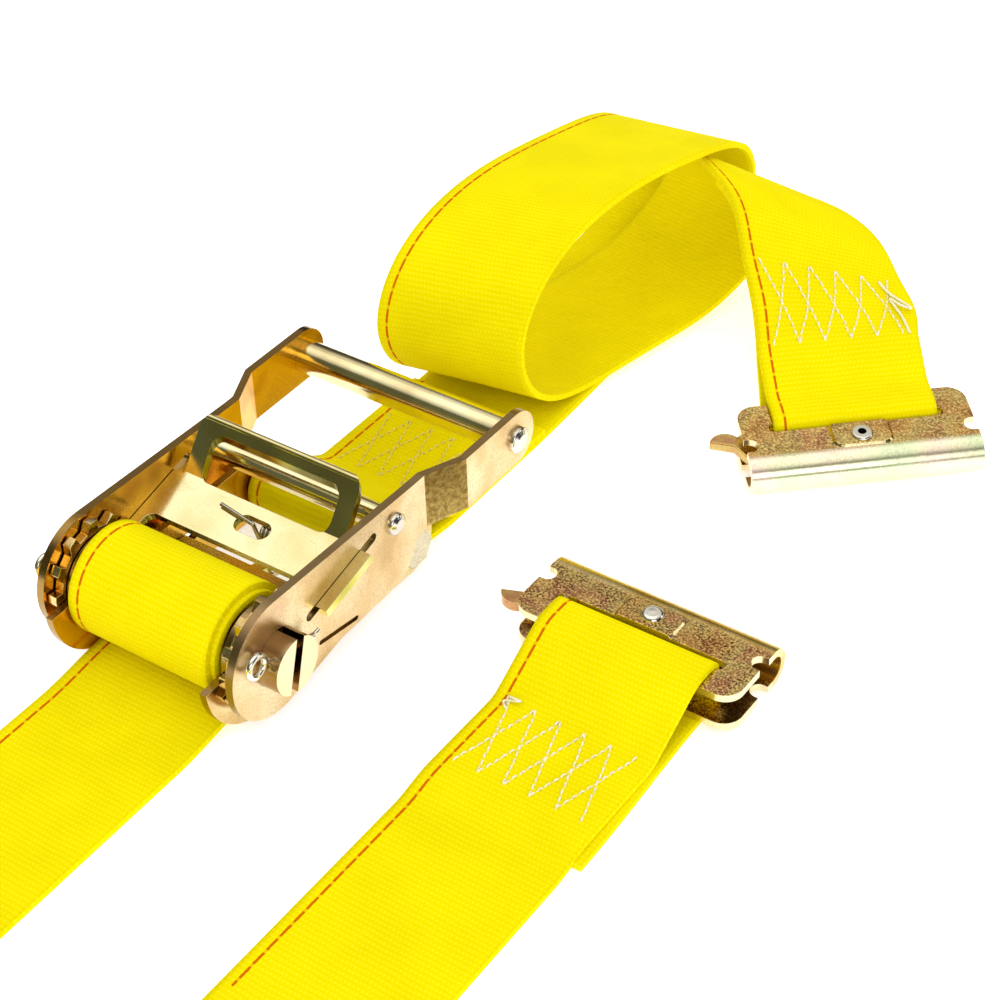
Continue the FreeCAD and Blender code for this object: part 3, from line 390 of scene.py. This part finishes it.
for key, nodes in NODE_MATERIALS.items():
    for node in nodes:
        dress(node, key)

YELLOW = webbing_material("webbing_yellow", (0.80, 0.68, 0.0), (0.72, 0.57, 0.0), (0.84, 0.73, 0.01))
THREAD = thread_material("stitching_thread", (0.62, 0.56, 0.26), (0.92, 0.88, 0.70))
YELLOW_THREAD = thread_material("stitching_thread_yellow", (0.66, 0.54, 0.04), (0.88, 0.78, 0.22))

# ---------------------------------------------------------------- webbing

WIDTH, THICK = 50.0, 1.9
HALF = WIDTH / 2
COLUMNS = 26                            # points across each face of a strap
X_UNIT = np.array([1.0, 0.0, 0.0])


def spline(points, spacing):
    """Evenly spaced points on a natural cubic spline through every column of points, by chord length."""
    points = np.array(points, float)
    chord = np.concatenate([[0], np.cumsum(np.linalg.norm(np.diff(points[:, :3], axis=0), axis=1))])
    count = len(points)
    step = np.diff(chord)
    matrix, right = np.zeros((count, count)), np.zeros_like(points)
    matrix[0, 0] = matrix[-1, -1] = 1
    for i in range(1, count - 1):
        matrix[i, i - 1], matrix[i, i], matrix[i, i + 1] = step[i - 1], 2 * (step[i - 1] + step[i]), step[i]
        right[i] = 6 * ((points[i + 1] - points[i]) / step[i] - (points[i] - points[i - 1]) / step[i - 1])
    bend = np.linalg.solve(matrix, right)
    where = np.linspace(0, chord[-1], max(2, int(round(chord[-1] / spacing)) + 1))
    i = np.clip(np.searchsorted(chord, where, side="right") - 1, 0, count - 2)
    h = step[i][:, None]
    a, b = (chord[i + 1] - where)[:, None] / h, (where - chord[i])[:, None] / h
    return (a * points[i] + b * points[i + 1]
            + ((a ** 3 - a) * bend[i] + (b ** 3 - b) * bend[i + 1]) * h ** 2 / 6)


def dense(points, spacing):
    """Evenly spaced points on the straight pieces of a line."""
    points = np.array(points, float)
    chord = np.concatenate([[0], np.cumsum(np.linalg.norm(np.diff(points, axis=0), axis=1))])
    where = np.linspace(0, chord[-1], int(chord[-1] / spacing) + 2)
    return np.stack([np.interp(where, chord, points[:, k]) for k in range(points.shape[1])], 1)


def softened(line, rounds=6):
    """The line with its corners eased and its ends kept."""
    line = np.array(line, float)
    for _ in range(rounds):
        line[1:-1] = (line[:-2] + 2 * line[1:-1] + line[2:]) / 4
    return line


def arc(centre, radius, start, end, count=12):
    """Points on an arc between two angles in degrees."""
    angles = np.radians(np.linspace(start, end, count))
    return [(centre[0] + radius * math.cos(a), centre[1] + radius * math.sin(a)) for a in angles]


def touch(centre, radius, point, side):
    """The angle, in degrees, where the line from a point touches a circle."""
    away = math.dist(centre, point)
    base = math.atan2(point[1] - centre[1], point[0] - centre[0])
    return math.degrees(base + side * math.acos(radius / away))


def along_of(path, start=0.0):
    """The length walked at each point of a line, from a start."""
    steps = np.linalg.norm(np.diff(path[:, :3], axis=0), axis=1)
    return start + np.concatenate([[0], np.cumsum(steps)])


def section():
    """The strap's section: place across in half widths and place through in half thicknesses, closed."""
    edge = [(1 - 0.020 * (1 - math.cos(a)), math.sin(a)) for a in (math.pi / 3, 0.0, -math.pi / 3)]
    top = [(-0.99 + 1.98 * i / (COLUMNS - 1), 1.0) for i in range(COLUMNS)]
    bottom = [(t, -1.0) for t, _ in reversed(top)]
    return np.array(top + edge + bottom + [(-t, n) for t, n in reversed(edge)])


def normals_of(left, right, up):
    """The way the strap's top faces at each ring; up settles the first ring's."""
    ahead = np.gradient((left + right) / 2, axis=0)
    normal = np.cross(right - left, ahead)
    normal /= np.linalg.norm(normal, axis=1)[:, None]
    return normal if normal[0] @ np.array(up, float) > 0 else -normal


def lay(name, left, right, along_left, along_right, up):
    """A strap between its two edge lines, in millimetres from the spool, with its places along the yarn."""
    left, right = np.asarray(left, float), np.asarray(right, float)
    normal = normals_of(left, right, up)
    middle, reach = (left + right) / 2, (right - left) / 2
    shape = section()
    rings, around = len(middle), len(shape)
    thick = THICK / 2 * (1 + 0.10 * np.exp(-((np.abs(shape[:, 0]) - 0.93) / 0.05) ** 2))
    points = (middle[:, None] + reach[:, None] * shape[None, :, :1]
              + normal[:, None] * (shape[:, 1] * thick)[None, :, None])
    share = shape[:, 0] * 0.5
    along = along_left[:, None] * (0.5 - share) + along_right[:, None] * (0.5 + share)
    across = np.broadcast_to(shape[None, :, 0] * HALF, along.shape)
    mesh = bpy.data.meshes.new(name)
    mesh.from_pydata([at(*p) for p in points.reshape(-1, 3)], [], strap_faces(rings, around))
    layer = mesh.attributes.new("strap", "FLOAT_VECTOR", "POINT")
    face = np.broadcast_to(shape[None, :, 1], along.shape)
    values = np.stack([across, along, face], -1).astype(np.float32)
    layer.data.foreach_set("vector", values.reshape(-1))
    obj = bpy.data.objects.new(name, mesh)
    bpy.context.scene.collection.objects.link(obj)
    mesh.materials.append(YELLOW)
    close_up(mesh, rings, around)
    return obj


def strap_faces(rings, around):
    """Quads round every ring, and strips that close the two cut ends."""
    faces = []
    for i in range(rings - 1):
        for j in range(around):
            k = (j + 1) % around
            faces.append((i * around + j, i * around + k, (i + 1) * around + k, (i + 1) * around + j))
    for i in (0, rings - 1):
        ring = [i * around + j for j in range(around)]
        lower = [ring[2 * COLUMNS + 2 - j] for j in range(COLUMNS)]
        faces += [(ring[j], ring[j + 1], lower[j + 1], lower[j]) for j in range(COLUMNS - 1)]
        faces.append((ring[COLUMNS - 1], *ring[COLUMNS:COLUMNS + 3], lower[COLUMNS - 1]))
        faces.append((ring[0], lower[0], *ring[2 * COLUMNS + 3:]))
    return faces


def close_up(mesh, rings, around):
    """Faces outwards, smooth, with a hard edge round the two cut ends."""
    work = bmesh.new()
    work.from_mesh(mesh)
    bmesh.ops.recalc_face_normals(work, faces=work.faces)
    ends = set(range(around)) | set(range((rings - 1) * around, rings * around))
    for edge in work.edges:
        a, b = edge.verts[0].index, edge.verts[1].index
        edge.smooth = not (a in ends and b in ends and abs(a - b) in (1, around - 1))
    work.to_mesh(mesh)
    work.free()
    for face in mesh.polygons:
        face.use_smooth = True


class Strap:
    """A strap that follows a middle line, with a unit vector across it at each point."""

    def __init__(self, name, path, across, start=0.0, up=(0, 0, 1), width=WIDTH):
        self.path = np.asarray(path, float)
        self.across = np.broadcast_to(np.asarray(across, float), self.path.shape)
        self.along = along_of(self.path, start)
        left, right = self.path - self.across * width / 2, self.path + self.across * width / 2
        self.normal = normals_of(left, right, up)
        self.obj = lay(name, left, right, self.along, self.along, up)
        self.length = (self.along[-1] - self.along[0]) / 1000

    def point(self, t, s, height):
        """A point t across and s along, at a height above the top face."""
        place, across, normal = (np.array([np.interp(s, self.along, column) for column in rows.T])
                                 for rows in (self.path, self.across, self.normal))
        return place + across * t + normal / np.linalg.norm(normal) * (THICK / 2 + height)

    def settle(self, nodes):
        """Hides the CAD parts that the strap stands for."""
        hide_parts(*nodes)


def threads(name, strap, lines, radius=0.33, stitch=2.6, material=THREAD):
    """Lockstitches along lines given as places across and along: short tubes that dip at their ends."""
    points, faces = [], []
    rings = 7
    bulge = [math.sin(math.pi * j / (rings - 1)) for j in range(rings)]
    for (t0, s0), (t1, s1) in lines:
        length = math.hypot(t1 - t0, s1 - s0)
        count = max(1, round(length / stitch))
        for k in range(count):
            a, b = (k + 0.04) / count, (k + 0.96) / count
            sway = random.uniform(-0.16, 0.16)
            middles = []
            for j in range(rings):
                u = a + (b - a) * j / (rings - 1)
                height = -0.30 + 0.62 * bulge[j]
                middles.append(strap.point(t0 + (t1 - t0) * u + sway, s0 + (s1 - s0) * u, height))
            add_tube(points, faces, middles, [radius * (0.45 + 0.55 * high ** 0.5) for high in bulge])
    return thread_piece(name, points, faces, material)


def add_tube(points, faces, middles, radii, sides=6):
    """Adds a closed tube along a line to a list of points and a list of faces."""
    middles = np.array(middles)
    ahead = np.gradient(middles, axis=0)
    ahead /= np.linalg.norm(ahead, axis=1)[:, None]
    first = len(points)
    guide = np.array([0.13, 0.21, 0.97])
    for middle, way, radius in zip(middles, ahead, radii):
        u = np.cross(way, guide)
        u /= np.linalg.norm(u)
        v = np.cross(way, u)
        for k in range(sides):
            turn = 2 * math.pi * k / sides
            points.append(middle + radius * (u * math.cos(turn) + v * math.sin(turn)))
    count = len(middles)
    for i in range(count - 1):
        for k in range(sides):
            a, b = first + i * sides + k, first + i * sides + (k + 1) % sides
            faces.append((a, b, b + sides, a + sides))
    faces.append(tuple(first + k for k in reversed(range(sides))))
    faces.append(tuple(first + (count - 1) * sides + k for k in range(sides)))


def thread_piece(name, points, faces, material=THREAD):
    """A smooth mesh of thread, from its points and faces."""
    mesh = bpy.data.meshes.new(name)
    mesh.from_pydata([at(*p) for p in points], [], faces)
    mesh.materials.append(material)
    work = bmesh.new()
    work.from_mesh(mesh)
    bmesh.ops.recalc_face_normals(work, faces=work.faces)
    work.to_mesh(mesh)
    work.free()
    for face in mesh.polygons:
        face.use_smooth = True
    obj = bpy.data.objects.new(name, mesh)
    bpy.context.scene.collection.objects.link(obj)
    return obj


def box_stitch(low, high, cells=5, half=20.0):
    """Two zigzags that cross, as lines across and along."""
    step = 2 * half / cells
    lines = []
    for first in (0, 1):
        for k in range(cells):
            a, b = (low, high) if (k + first) % 2 else (high, low)
            lines.append(((-half + k * step, a), (-half + (k + 1) * step, b)))
    return lines


def loose_thread(name, strap, places, radius=0.34):
    """A thread end that lies on the strap in a small loop: places across, along and above."""
    line = spline([strap.point(*place) for place in places], 0.5)
    points, faces = [], []
    add_tube(points, faces, line, [radius] * len(line), 7)
    return thread_piece(name, points, faces)


# the wound turns: a spiral from where the strand leaves, inwards
TURNS, OUTER, PITCH = 3.35, 16.55, 1.95
WOUND_WIDTH = 48.6                      # the webbing narrows a little under tension
share = np.linspace(0, 1, int(TURNS * 72))
turn = math.radians(-91) + share * TURNS * 2 * math.pi
radius = OUTER - PITCH * TURNS * share
shift = np.interp(share * TURNS, [0, 0.18, 0.80, 1.02, 1.9, 2.2, TURNS],
                  [-0.7, -0.9, -0.8, 1.0, 0.6, -0.5, 0.2])
spiral = np.stack([shift, radius * np.cos(turn), SPOOL.z + radius * np.sin(turn)], 1)
wound = Strap("webbing_wound", spiral, X_UNIT, 0.0, (0, 0, -1), WOUND_WIDTH)
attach(wound.obj, "spool")
wound.settle(["long_strap_wound"])

# the strand that leaves the roll
UNDER = 3.4
STRAND_END = -100.0
glide = [(-2 - 30 * u, FLOOR + (UNDER - FLOOR) * (1 - u) ** 2 * (1 + 2 * u)) for u in np.linspace(0, 1, 20)]
run = dense([(3.0, UNDER)] + glide + [(STRAND_END, FLOOR)], 1.3)
run = np.stack([np.interp(run[:, 0], [STRAND_END, -30, 3], [0.0, -0.3, -0.7]), run[:, 0], run[:, 1]], 1)
strand = Strap("webbing_long_strand", run, X_UNIT, -3.0)
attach(strand.obj, "frame")
strand.settle(["long_strap_run"])

# the put-away folds: in along -Y, a fold across the corner, runs along X, and a fold across the corner to +Y
LAYER, RUNS, FOLD_LEFT, FOLD_RIGHT = 2.32, 10, -21.5, 181.0
NEAR, FAR = -140.0, -190.0              # the edges of the stack
LEVEL = 60.0                            # where the first run is past the corner
OUT_X = LOWER_EDGE[0]                   # the middle of the strand that leaves the stack
REJOIN = -80.0                          # where that strand becomes the fitting's end
FOLDS_START = -97.0                     # the place along the yarn where the folds start
DIAGONAL = (-math.sqrt(0.5), -math.sqrt(0.5))
CORNER = 26.0                           # how far the first corner's doubled strap reaches under the runs
DESCENT, DESCENT_LENGTH = -138.0, 50.0  # where the last strand comes down


def ease(u):
    """A smooth step from 0 to 1."""
    u = np.clip(u, 0.0, 1.0)
    return u * u * (3 - 2 * u)


def stack_height(layer, x):
    """The height of a run, which is lifted where it crosses the first corner's doubled strap."""
    return FLOOR + LAYER * layer + LAYER * (1 - ease((x - CORNER) / CORNER))


def descent(y):
    """The last strand's height where it comes down from the stack to the floor."""
    top = FLOOR + LAYER * RUNS
    return top + (FLOOR - top) * ease((y - DESCENT) / DESCENT_LENGTH)


def corner_fold(out, height, reach=1.16, count=9):
    """Offsets of a fold turned over a line, outwards along out and up."""
    return [(out[0] * reach * math.sin(a), out[1] * reach * math.sin(a), height + reach * (1 - math.cos(a)))
            for a in np.linspace(0, math.pi, count)]


def put_away():
    """The folds, their length in millimetres and the place along the yarn where they end."""
    left, right = [], []

    def ring(a, b):
        left.append(a)
        right.append(b)

    for u in np.linspace(0, 1, 26):
        ring((-HALF, STRAND_END + (NEAR - STRAND_END) * u, FLOOR),
             (HALF, STRAND_END + (FAR - STRAND_END) * u, FLOOR))
    for dx, dy, z in corner_fold(DIAGONAL, FLOOR)[1:]:
        ring((-HALF + dx, NEAR + dy, z), (HALF + dx, FAR + dy, z))
    for u in np.linspace(0, 1, 30)[1:]:
        a, b = -HALF + (LEVEL + HALF) * u, HALF + (LEVEL - HALF) * u
        ring((a, NEAR, stack_height(0, a)), (b, FAR, stack_height(0, b)))
    x = LEVEL
    inner, outer = OUT_X - HALF, OUT_X + HALF
    for layer in range(RUNS):
        way = 1 if layer % 2 == 0 else -1
        last = layer == RUNS - 1
        drift = 0.9 * math.sin(2.4 * layer + 1.0)
        fold = (FOLD_RIGHT if way > 0 else FOLD_LEFT) + 1.4 * math.sin(1.7 * layer)
        end = outer if last else fold
        count = max(4, int(abs(end - x) / 3))
        for u in np.linspace(0, 1, count + 1)[1:]:
            here = x + (end - x) * u
            wave = 0.22 * math.sin(here / 17.0 + 1.3 * layer)
            skew = drift * math.sin(math.pi * u)
            z = stack_height(layer, here) + wave * math.sin(math.pi * u)
            ring((here, NEAR + skew, z), (here, FAR + skew, z))
        x = end
        if not last:
            z, half = stack_height(layer, x), LAYER / 2
            for a in np.linspace(0, math.pi, 9)[1:]:
                px, pz = x + way * half * math.sin(a), z + half * (1 - math.cos(a))
                ring((px, NEAR, pz), (px, FAR, pz))
    z = stack_height(RUNS - 1, outer)
    for u in np.linspace(0, 1, 20)[1:]:
        ring((outer - WIDTH * u, NEAR, z), (outer + 0.3 * (1 - u), FAR, z))
    for dx, dy, z in corner_fold(DIAGONAL, z)[1:]:
        ring((inner + dx, NEAR + dy, z), (outer + dx, FAR + dy, z))
    for u in np.linspace(0, 1, 46)[1:]:
        a, b = NEAR + (REJOIN - NEAR) * u, FAR + (REJOIN - FAR) * u
        ring((inner, a, descent(a)), (outer, b, descent(b)))
    left, right = np.array(left), np.array(right)
    along_left, along_right = along_of(left, FOLDS_START), along_of(right, FOLDS_START)
    obj = lay("webbing_folds", left, right, along_left, along_right, (0, 0, 1))
    return obj, max(along_left[-1], along_right[-1]) - FOLDS_START, along_left[-1]


folds, fold_length, fold_end = put_away()
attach(folds, "frame")
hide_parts("long_strap_hank")

# the long strap's far end: along the floor, up over its own tail, through the fitting and back underneath
SLOT = 9.4                              # where the webbing turns down into the slot, from the back edge
TAIL_TOP = 3.05                         # the middle of a strap that lies on another one
ASIDE = 2.3                             # how far the under layer drifts sideways by its end


def turn_in_fitting(top_from, under_to):
    """The middle line round the fitting's back strips, in its own two axes: forwards and up."""
    return ([top_from, (-1.6, 13.35), (0.6, 13.65), (SLOT - 1.2, 13.65), (SLOT - 0.2, 13.3),
             (SLOT + 0.35, 12.0), (SLOT + 0.5, 6.2), (SLOT + 0.35, 0.2), (SLOT - 0.6, -0.95),
             (0.0, -1.05), under_to])


shape = [(REJOIN, FLOOR), (-9.0, FLOOR), (2.0, TAIL_TOP), (33.3, 3.1)]
shape += [(LOWER_EDGE[1] + v, LOWER_EDGE[2] + w) for v, w in turn_in_fitting((-22.0, 1.7), (-3.0, -1.05))]
shape += [(33.3, FLOOR), (-3.0, FLOOR)]
line = softened(dense(shape, 0.9), 5)
over = along_of(np.stack([0 * line[:, 0], line[:, 0], line[:, 1]], 1))
slot_place = over[np.argmax(line[:, 0])]
past_slot = slot_place + 8
side = OUT_X + ASIDE * ease((over - past_slot) / (over[-1] - past_slot))
path = np.stack([side, line[:, 0], line[:, 1]], 1)
lower = Strap("webbing_lower_end", path, X_UNIT, fold_end)


def y_at(y):
    """The place along the lower end's upper layer that lies at y."""
    upper_layer = slice(len(path) // 2)
    return float(np.interp(y, path[upper_layer, 1], lower.along[upper_layer]))


lower_stitch = threads("stitching_lower", lower, box_stitch(y_at(8.0), y_at(36.0)))
lower_loop = loose_thread("thread_end_lower", lower, [
    (-19.5, y_at(33), 0.1), (-20.5, y_at(36), 0.5), (-19.6, y_at(39.5), 1.0), (-17.3, y_at(40.3), 1.2),
    (-16.2, y_at(37.5), 1.3), (-18.0, y_at(34.6), 1.0), (-21.0, y_at(33.2), 0.6), (-19.0, y_at(31.5), 0.2)])
for piece in (lower.obj, lower_stitch, lower_loop):
    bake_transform(piece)
lower.settle(["long_strap_fitting_run", "long_strap_fitting_loop"])

# the short strap: doubled round the anchor spacer, then one turn and a second that lies on it
SPACER, WRAP = (66.0, 11.0), 7.15       # the spacer's axis, and the webbing's radius round it
ANCHOR_SEWN = 139.8                     # where the sewn end stops
top_turn = touch(SPACER, WRAP, (92, TAIL_TOP), 1)
low_turn = touch(SPACER, WRAP, (90, FLOOR), -1)
anchor = [(ANCHOR_SEWN, TAIL_TOP), (92, TAIL_TOP), *arc(SPACER, WRAP, top_turn, low_turn % 360, 40),
          (90, FLOOR), (138, FLOOR)]
anchor = softened(dense(anchor, 1.0), 3)
# the middle line's places, then the turn in plan and the bank of the strap in degrees
STATIONS = [
    (0, 140, 1.1, 0, 0), (-1, 170, 1.1, 0, 0), (-2, 205, 1.1, 0, 0), (-2, 238, 1.6, 1, 0),
    (-3, 257, 6, 2, 0), (-3, 267, 15, 3, 0), (-3, 270, 26, 4, 0), (-3, 265, 37, 5, 1), (-3, 253, 44.5, 5, 2),
    (-3, 234, 50, 5, 3), (-3, 211, 55, 6, 4), (-3, 187, 58.5, 7, 4), (-3, 166, 58.5, 8, 4),
    (-3, 148, 54, 8, 4), (-3, 136, 45.5, 8, 4), (-3, 130.5, 34, 8, 5), (-3, 133, 21, 6, 6),
    (-3, 142, 10.5, 3, 5), (-2, 157, 5, -1, 2),
    (1, 180, 3.5, -6, 0), (6, 205, 3.5, -9, 0), (11, 231, 5, -9, 0), (15, 247, 12, -8, 0),
    (20, 255, 23, -5, -1), (25, 254.5, 34, -3, -2), (34, 248, 41.2, 1, -5.5), (47, 241, 43.2, 7, -7),
    (62, 232.5, 41, 11, -6), (74.5, 220.5, 34.8, 20, -4), (83.5, 212, 30.2, 31, -3),
]
FORWARDS = np.array([math.sin(TURN), -math.cos(TURN), 0])
ENTRY = (-16.1, 20.85)                  # where the strap comes down to the upper fitting
LOOP_LENGTH, TAIL_LENGTH = 66.0, 58.0   # the end that swings with the fitting, and its sewn under layer
STEP_DOWN = 2.0                         # from the upper layer's middle to the under layer's


def in_upper(v, w):
    """A station in the upper fitting's side view, which leans down to the edge of its nose."""
    back = v - NOSE_REACH
    ahead = NOSE_REACH + back * math.cos(LEAN) + w * math.sin(LEAN)
    high = w * math.cos(LEAN) - back * math.sin(LEAN)
    return (*(np.array(UPPER_EDGE) + FORWARDS * ahead + np.array([0, 0, high])), math.degrees(TURN), 0)


turn_stations = [in_upper(v, w) for v, w in turn_in_fitting(ENTRY, (-3.9, 0.7)) + [(-17.0, 18.4)]]
whole = spline(STATIONS + [in_upper(*ENTRY)], 1.2)
whole = np.concatenate([np.array([(0, y, z, 0, 0) for y, z in anchor[:-2]]), whole[1:]])
whole[:, :3] = softened(whole[:, :3], 4)


def across_of(line):
    """The unit vector across the strap at each station."""
    plan, bank = np.radians(line[:, 3]), np.radians(line[:, 4])
    return np.stack([np.cos(plan) * np.cos(bank), np.sin(plan) * np.cos(bank), np.sin(bank)], 1)


lengths = along_of(whole)
cut = int(np.searchsorted(lengths, lengths[-1] - LOOP_LENGTH))
static = whole[:cut + 1]
short = Strap("webbing_short_strap", static[:, :3], across_of(static), 0.0)
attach(short.obj, "frame")
anchor_stitch = threads("stitching_anchor", short, box_stitch(ANCHOR_SEWN - 121.0, ANCHOR_SEWN - 93.0),
                        0.28, material=YELLOW_THREAD)
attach(anchor_stitch, "frame")
short.settle(["short_strap_anchor_loop", "short_strap_first_turn", "short_strap_second_turn"])

ending = whole[cut:]
loop_line = softened(dense(np.array(turn_stations), 0.9), 5)
normal = normals_of(ending[:, :3] - across_of(ending), ending[:, :3] + across_of(ending), (0, 0, 1))
beneath = ending.copy()
beneath[:, :3] -= normal * STEP_DOWN
back = beneath[::-1]
back = back[:int(np.searchsorted(along_of(back), TAIL_LENGTH))]
ending = np.concatenate([ending[:-1], loop_line[1:-1], back[1:]])
ending[:, :3] = softened(ending[:, :3], 2)
upper = Strap("webbing_upper_end", ending[:, :3], across_of(ending), short.along[-1])
corner = upper.along[0] + LOOP_LENGTH
upper_stitch = threads("stitching_upper", upper, box_stitch(corner - 29.0, corner - 1.0))
upper_knot = loose_thread("thread_end_upper", upper, [
    (17.0, corner - 27, 0.2), (18.0, corner - 22, 0.7), (21.5, corner - 16, 1.2), (23.0, corner - 13, 1.5),
    (20.0, corner - 14.5, 1.6), (17.6, corner - 18, 1.1), (19.0, corner - 12, 0.9), (21.0, corner - 5, 0.5),
    (22.0, corner - 1, 0.2)], 0.42)
for piece in (upper.obj, upper_stitch, upper_knot):
    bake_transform(piece)
upper.settle(["short_strap_fitting_loop"])

# ---------------------------------------------------------------- camera, floor and light

# the camera's lens, place and directions, solved from the spool, grip and strap edges in the photo
LENS = 85.238
CAMERA_PLACE = (352.35, -337.764, 441.356)
CAMERA_RIGHT = (0.82233937, 0.56836715, -0.02677211)
CAMERA_UP = (-0.33888194, 0.52702058, 0.77936406)
CAMERA_BACK = (0.45707438, -0.63182917, 0.62599914)


def camera():
    """The photo's camera."""
    data = bpy.data.cameras.new("camera")
    data.sensor_width = 36.0
    data.lens = LENS
    data.clip_start = 0.01
    obj = bpy.data.objects.new("camera", data)
    bpy.context.scene.collection.objects.link(obj)
    columns = (CAMERA_RIGHT, CAMERA_UP, CAMERA_BACK, at(*CAMERA_PLACE))
    obj.matrix_world = Matrix([[column[row] for column in columns] for row in range(3)] + [[0, 0, 0, 1]])
    bpy.context.scene.camera = obj


def plane(name, size, z):
    """A level square that belongs to the studio."""
    mesh = bpy.data.meshes.new(name)
    corners = [(-size, -size, z), (size, -size, z), (size, size, z), (-size, size, z)]
    mesh.from_pydata(corners, [], [(0, 1, 2, 3)])
    obj = bpy.data.objects.new(name, mesh)
    bpy.context.scene.collection.objects.link(obj)
    return obj


def softbox(name, place, size, power):
    """A white area light that faces the middle of the object."""
    data = bpy.data.lights.new(name, "AREA")
    data.shape = "RECTANGLE"
    data.size, data.size_y = size
    data.energy = power
    obj = bpy.data.objects.new(name, data)
    bpy.context.scene.collection.objects.link(obj)
    obj.location = place
    obj.rotation_euler = (-Vector(place)).to_track_quat("-Z", "Y").to_euler()


AMBIENT = 1.06                          # the even light that cloth and floor get
SKY = ((0.0, 0.03), (0.42, 0.04), (0.62, 0.13), (0.74, 0.50), (0.80, 0.88), (1.0, 1.0))


def floor():
    """A pale floor, near and far: only the near part shows in the metal."""
    n = Nodes("floor_pale")
    speck = n.noise(n.add("TexCoord").outputs["Object"], 30.0, 4.0)
    n.link(n.ramp(speck, (0.0, 0.93), (1.0, 0.96)), n.shader.inputs["Base Color"])
    n.shader.inputs["Roughness"].default_value = 0.9
    n.shader.inputs["Emission Color"].default_value = (1, 1, 1, 1)
    n.shader.inputs["Emission Strength"].default_value = 0.48
    near = plane("floor_near", 0.9, -0.0003)
    far = plane("floor_far", 12.0, -0.0008)
    far.visible_glossy = False
    for obj in (near, far):
        obj.data.materials.append(n.material)


def room():
    """What the metal mirrors, dark low down and bright overhead, round a white backdrop."""
    n = WorldNodes("studio")
    bpy.context.scene.world = n.world
    split = n.add("SeparateXYZ")
    n.link(n.add("TexCoord").outputs["Generated"], split.inputs[0])
    height = n.math("MULTIPLY_ADD", split.outputs[1], 0.22, split.outputs[2])
    sky = n.ramp(height, *[(place, (v, v * 0.96, v * 0.90)) for place, v in SKY])
    front = n.math("MULTIPLY_ADD", split.outputs[1], -1.2, -0.2, clamp=True)
    sky = n.mix(front, sky, (0.12, 0.13, 0.06), "ADD")
    path = n.add("LightPath")
    seen = n.mix(path.outputs["Is Diffuse Ray"], sky, (AMBIENT, AMBIENT, AMBIENT))
    seen = n.mix(path.outputs["Is Camera Ray"], seen, (1, 1, 1))
    n.link(seen, n.shader.inputs["Color"])


def studio():
    """Floor, room, lights and a plain view transform."""
    floor()
    room()
    softbox("top", (-0.25, -0.15, 1.4), (1.9, 1.9), 5.4)
    softbox("right", (1.0, -0.85, 0.62), (0.9, 0.7), 4.5)
    softbox("edge", (1.1, 1.0, 0.5), (0.5, 0.5), 2.0)
    scene = bpy.context.scene
    scene.view_settings.view_transform = "Standard"
    scene.view_settings.look = "None"


camera()
studio()
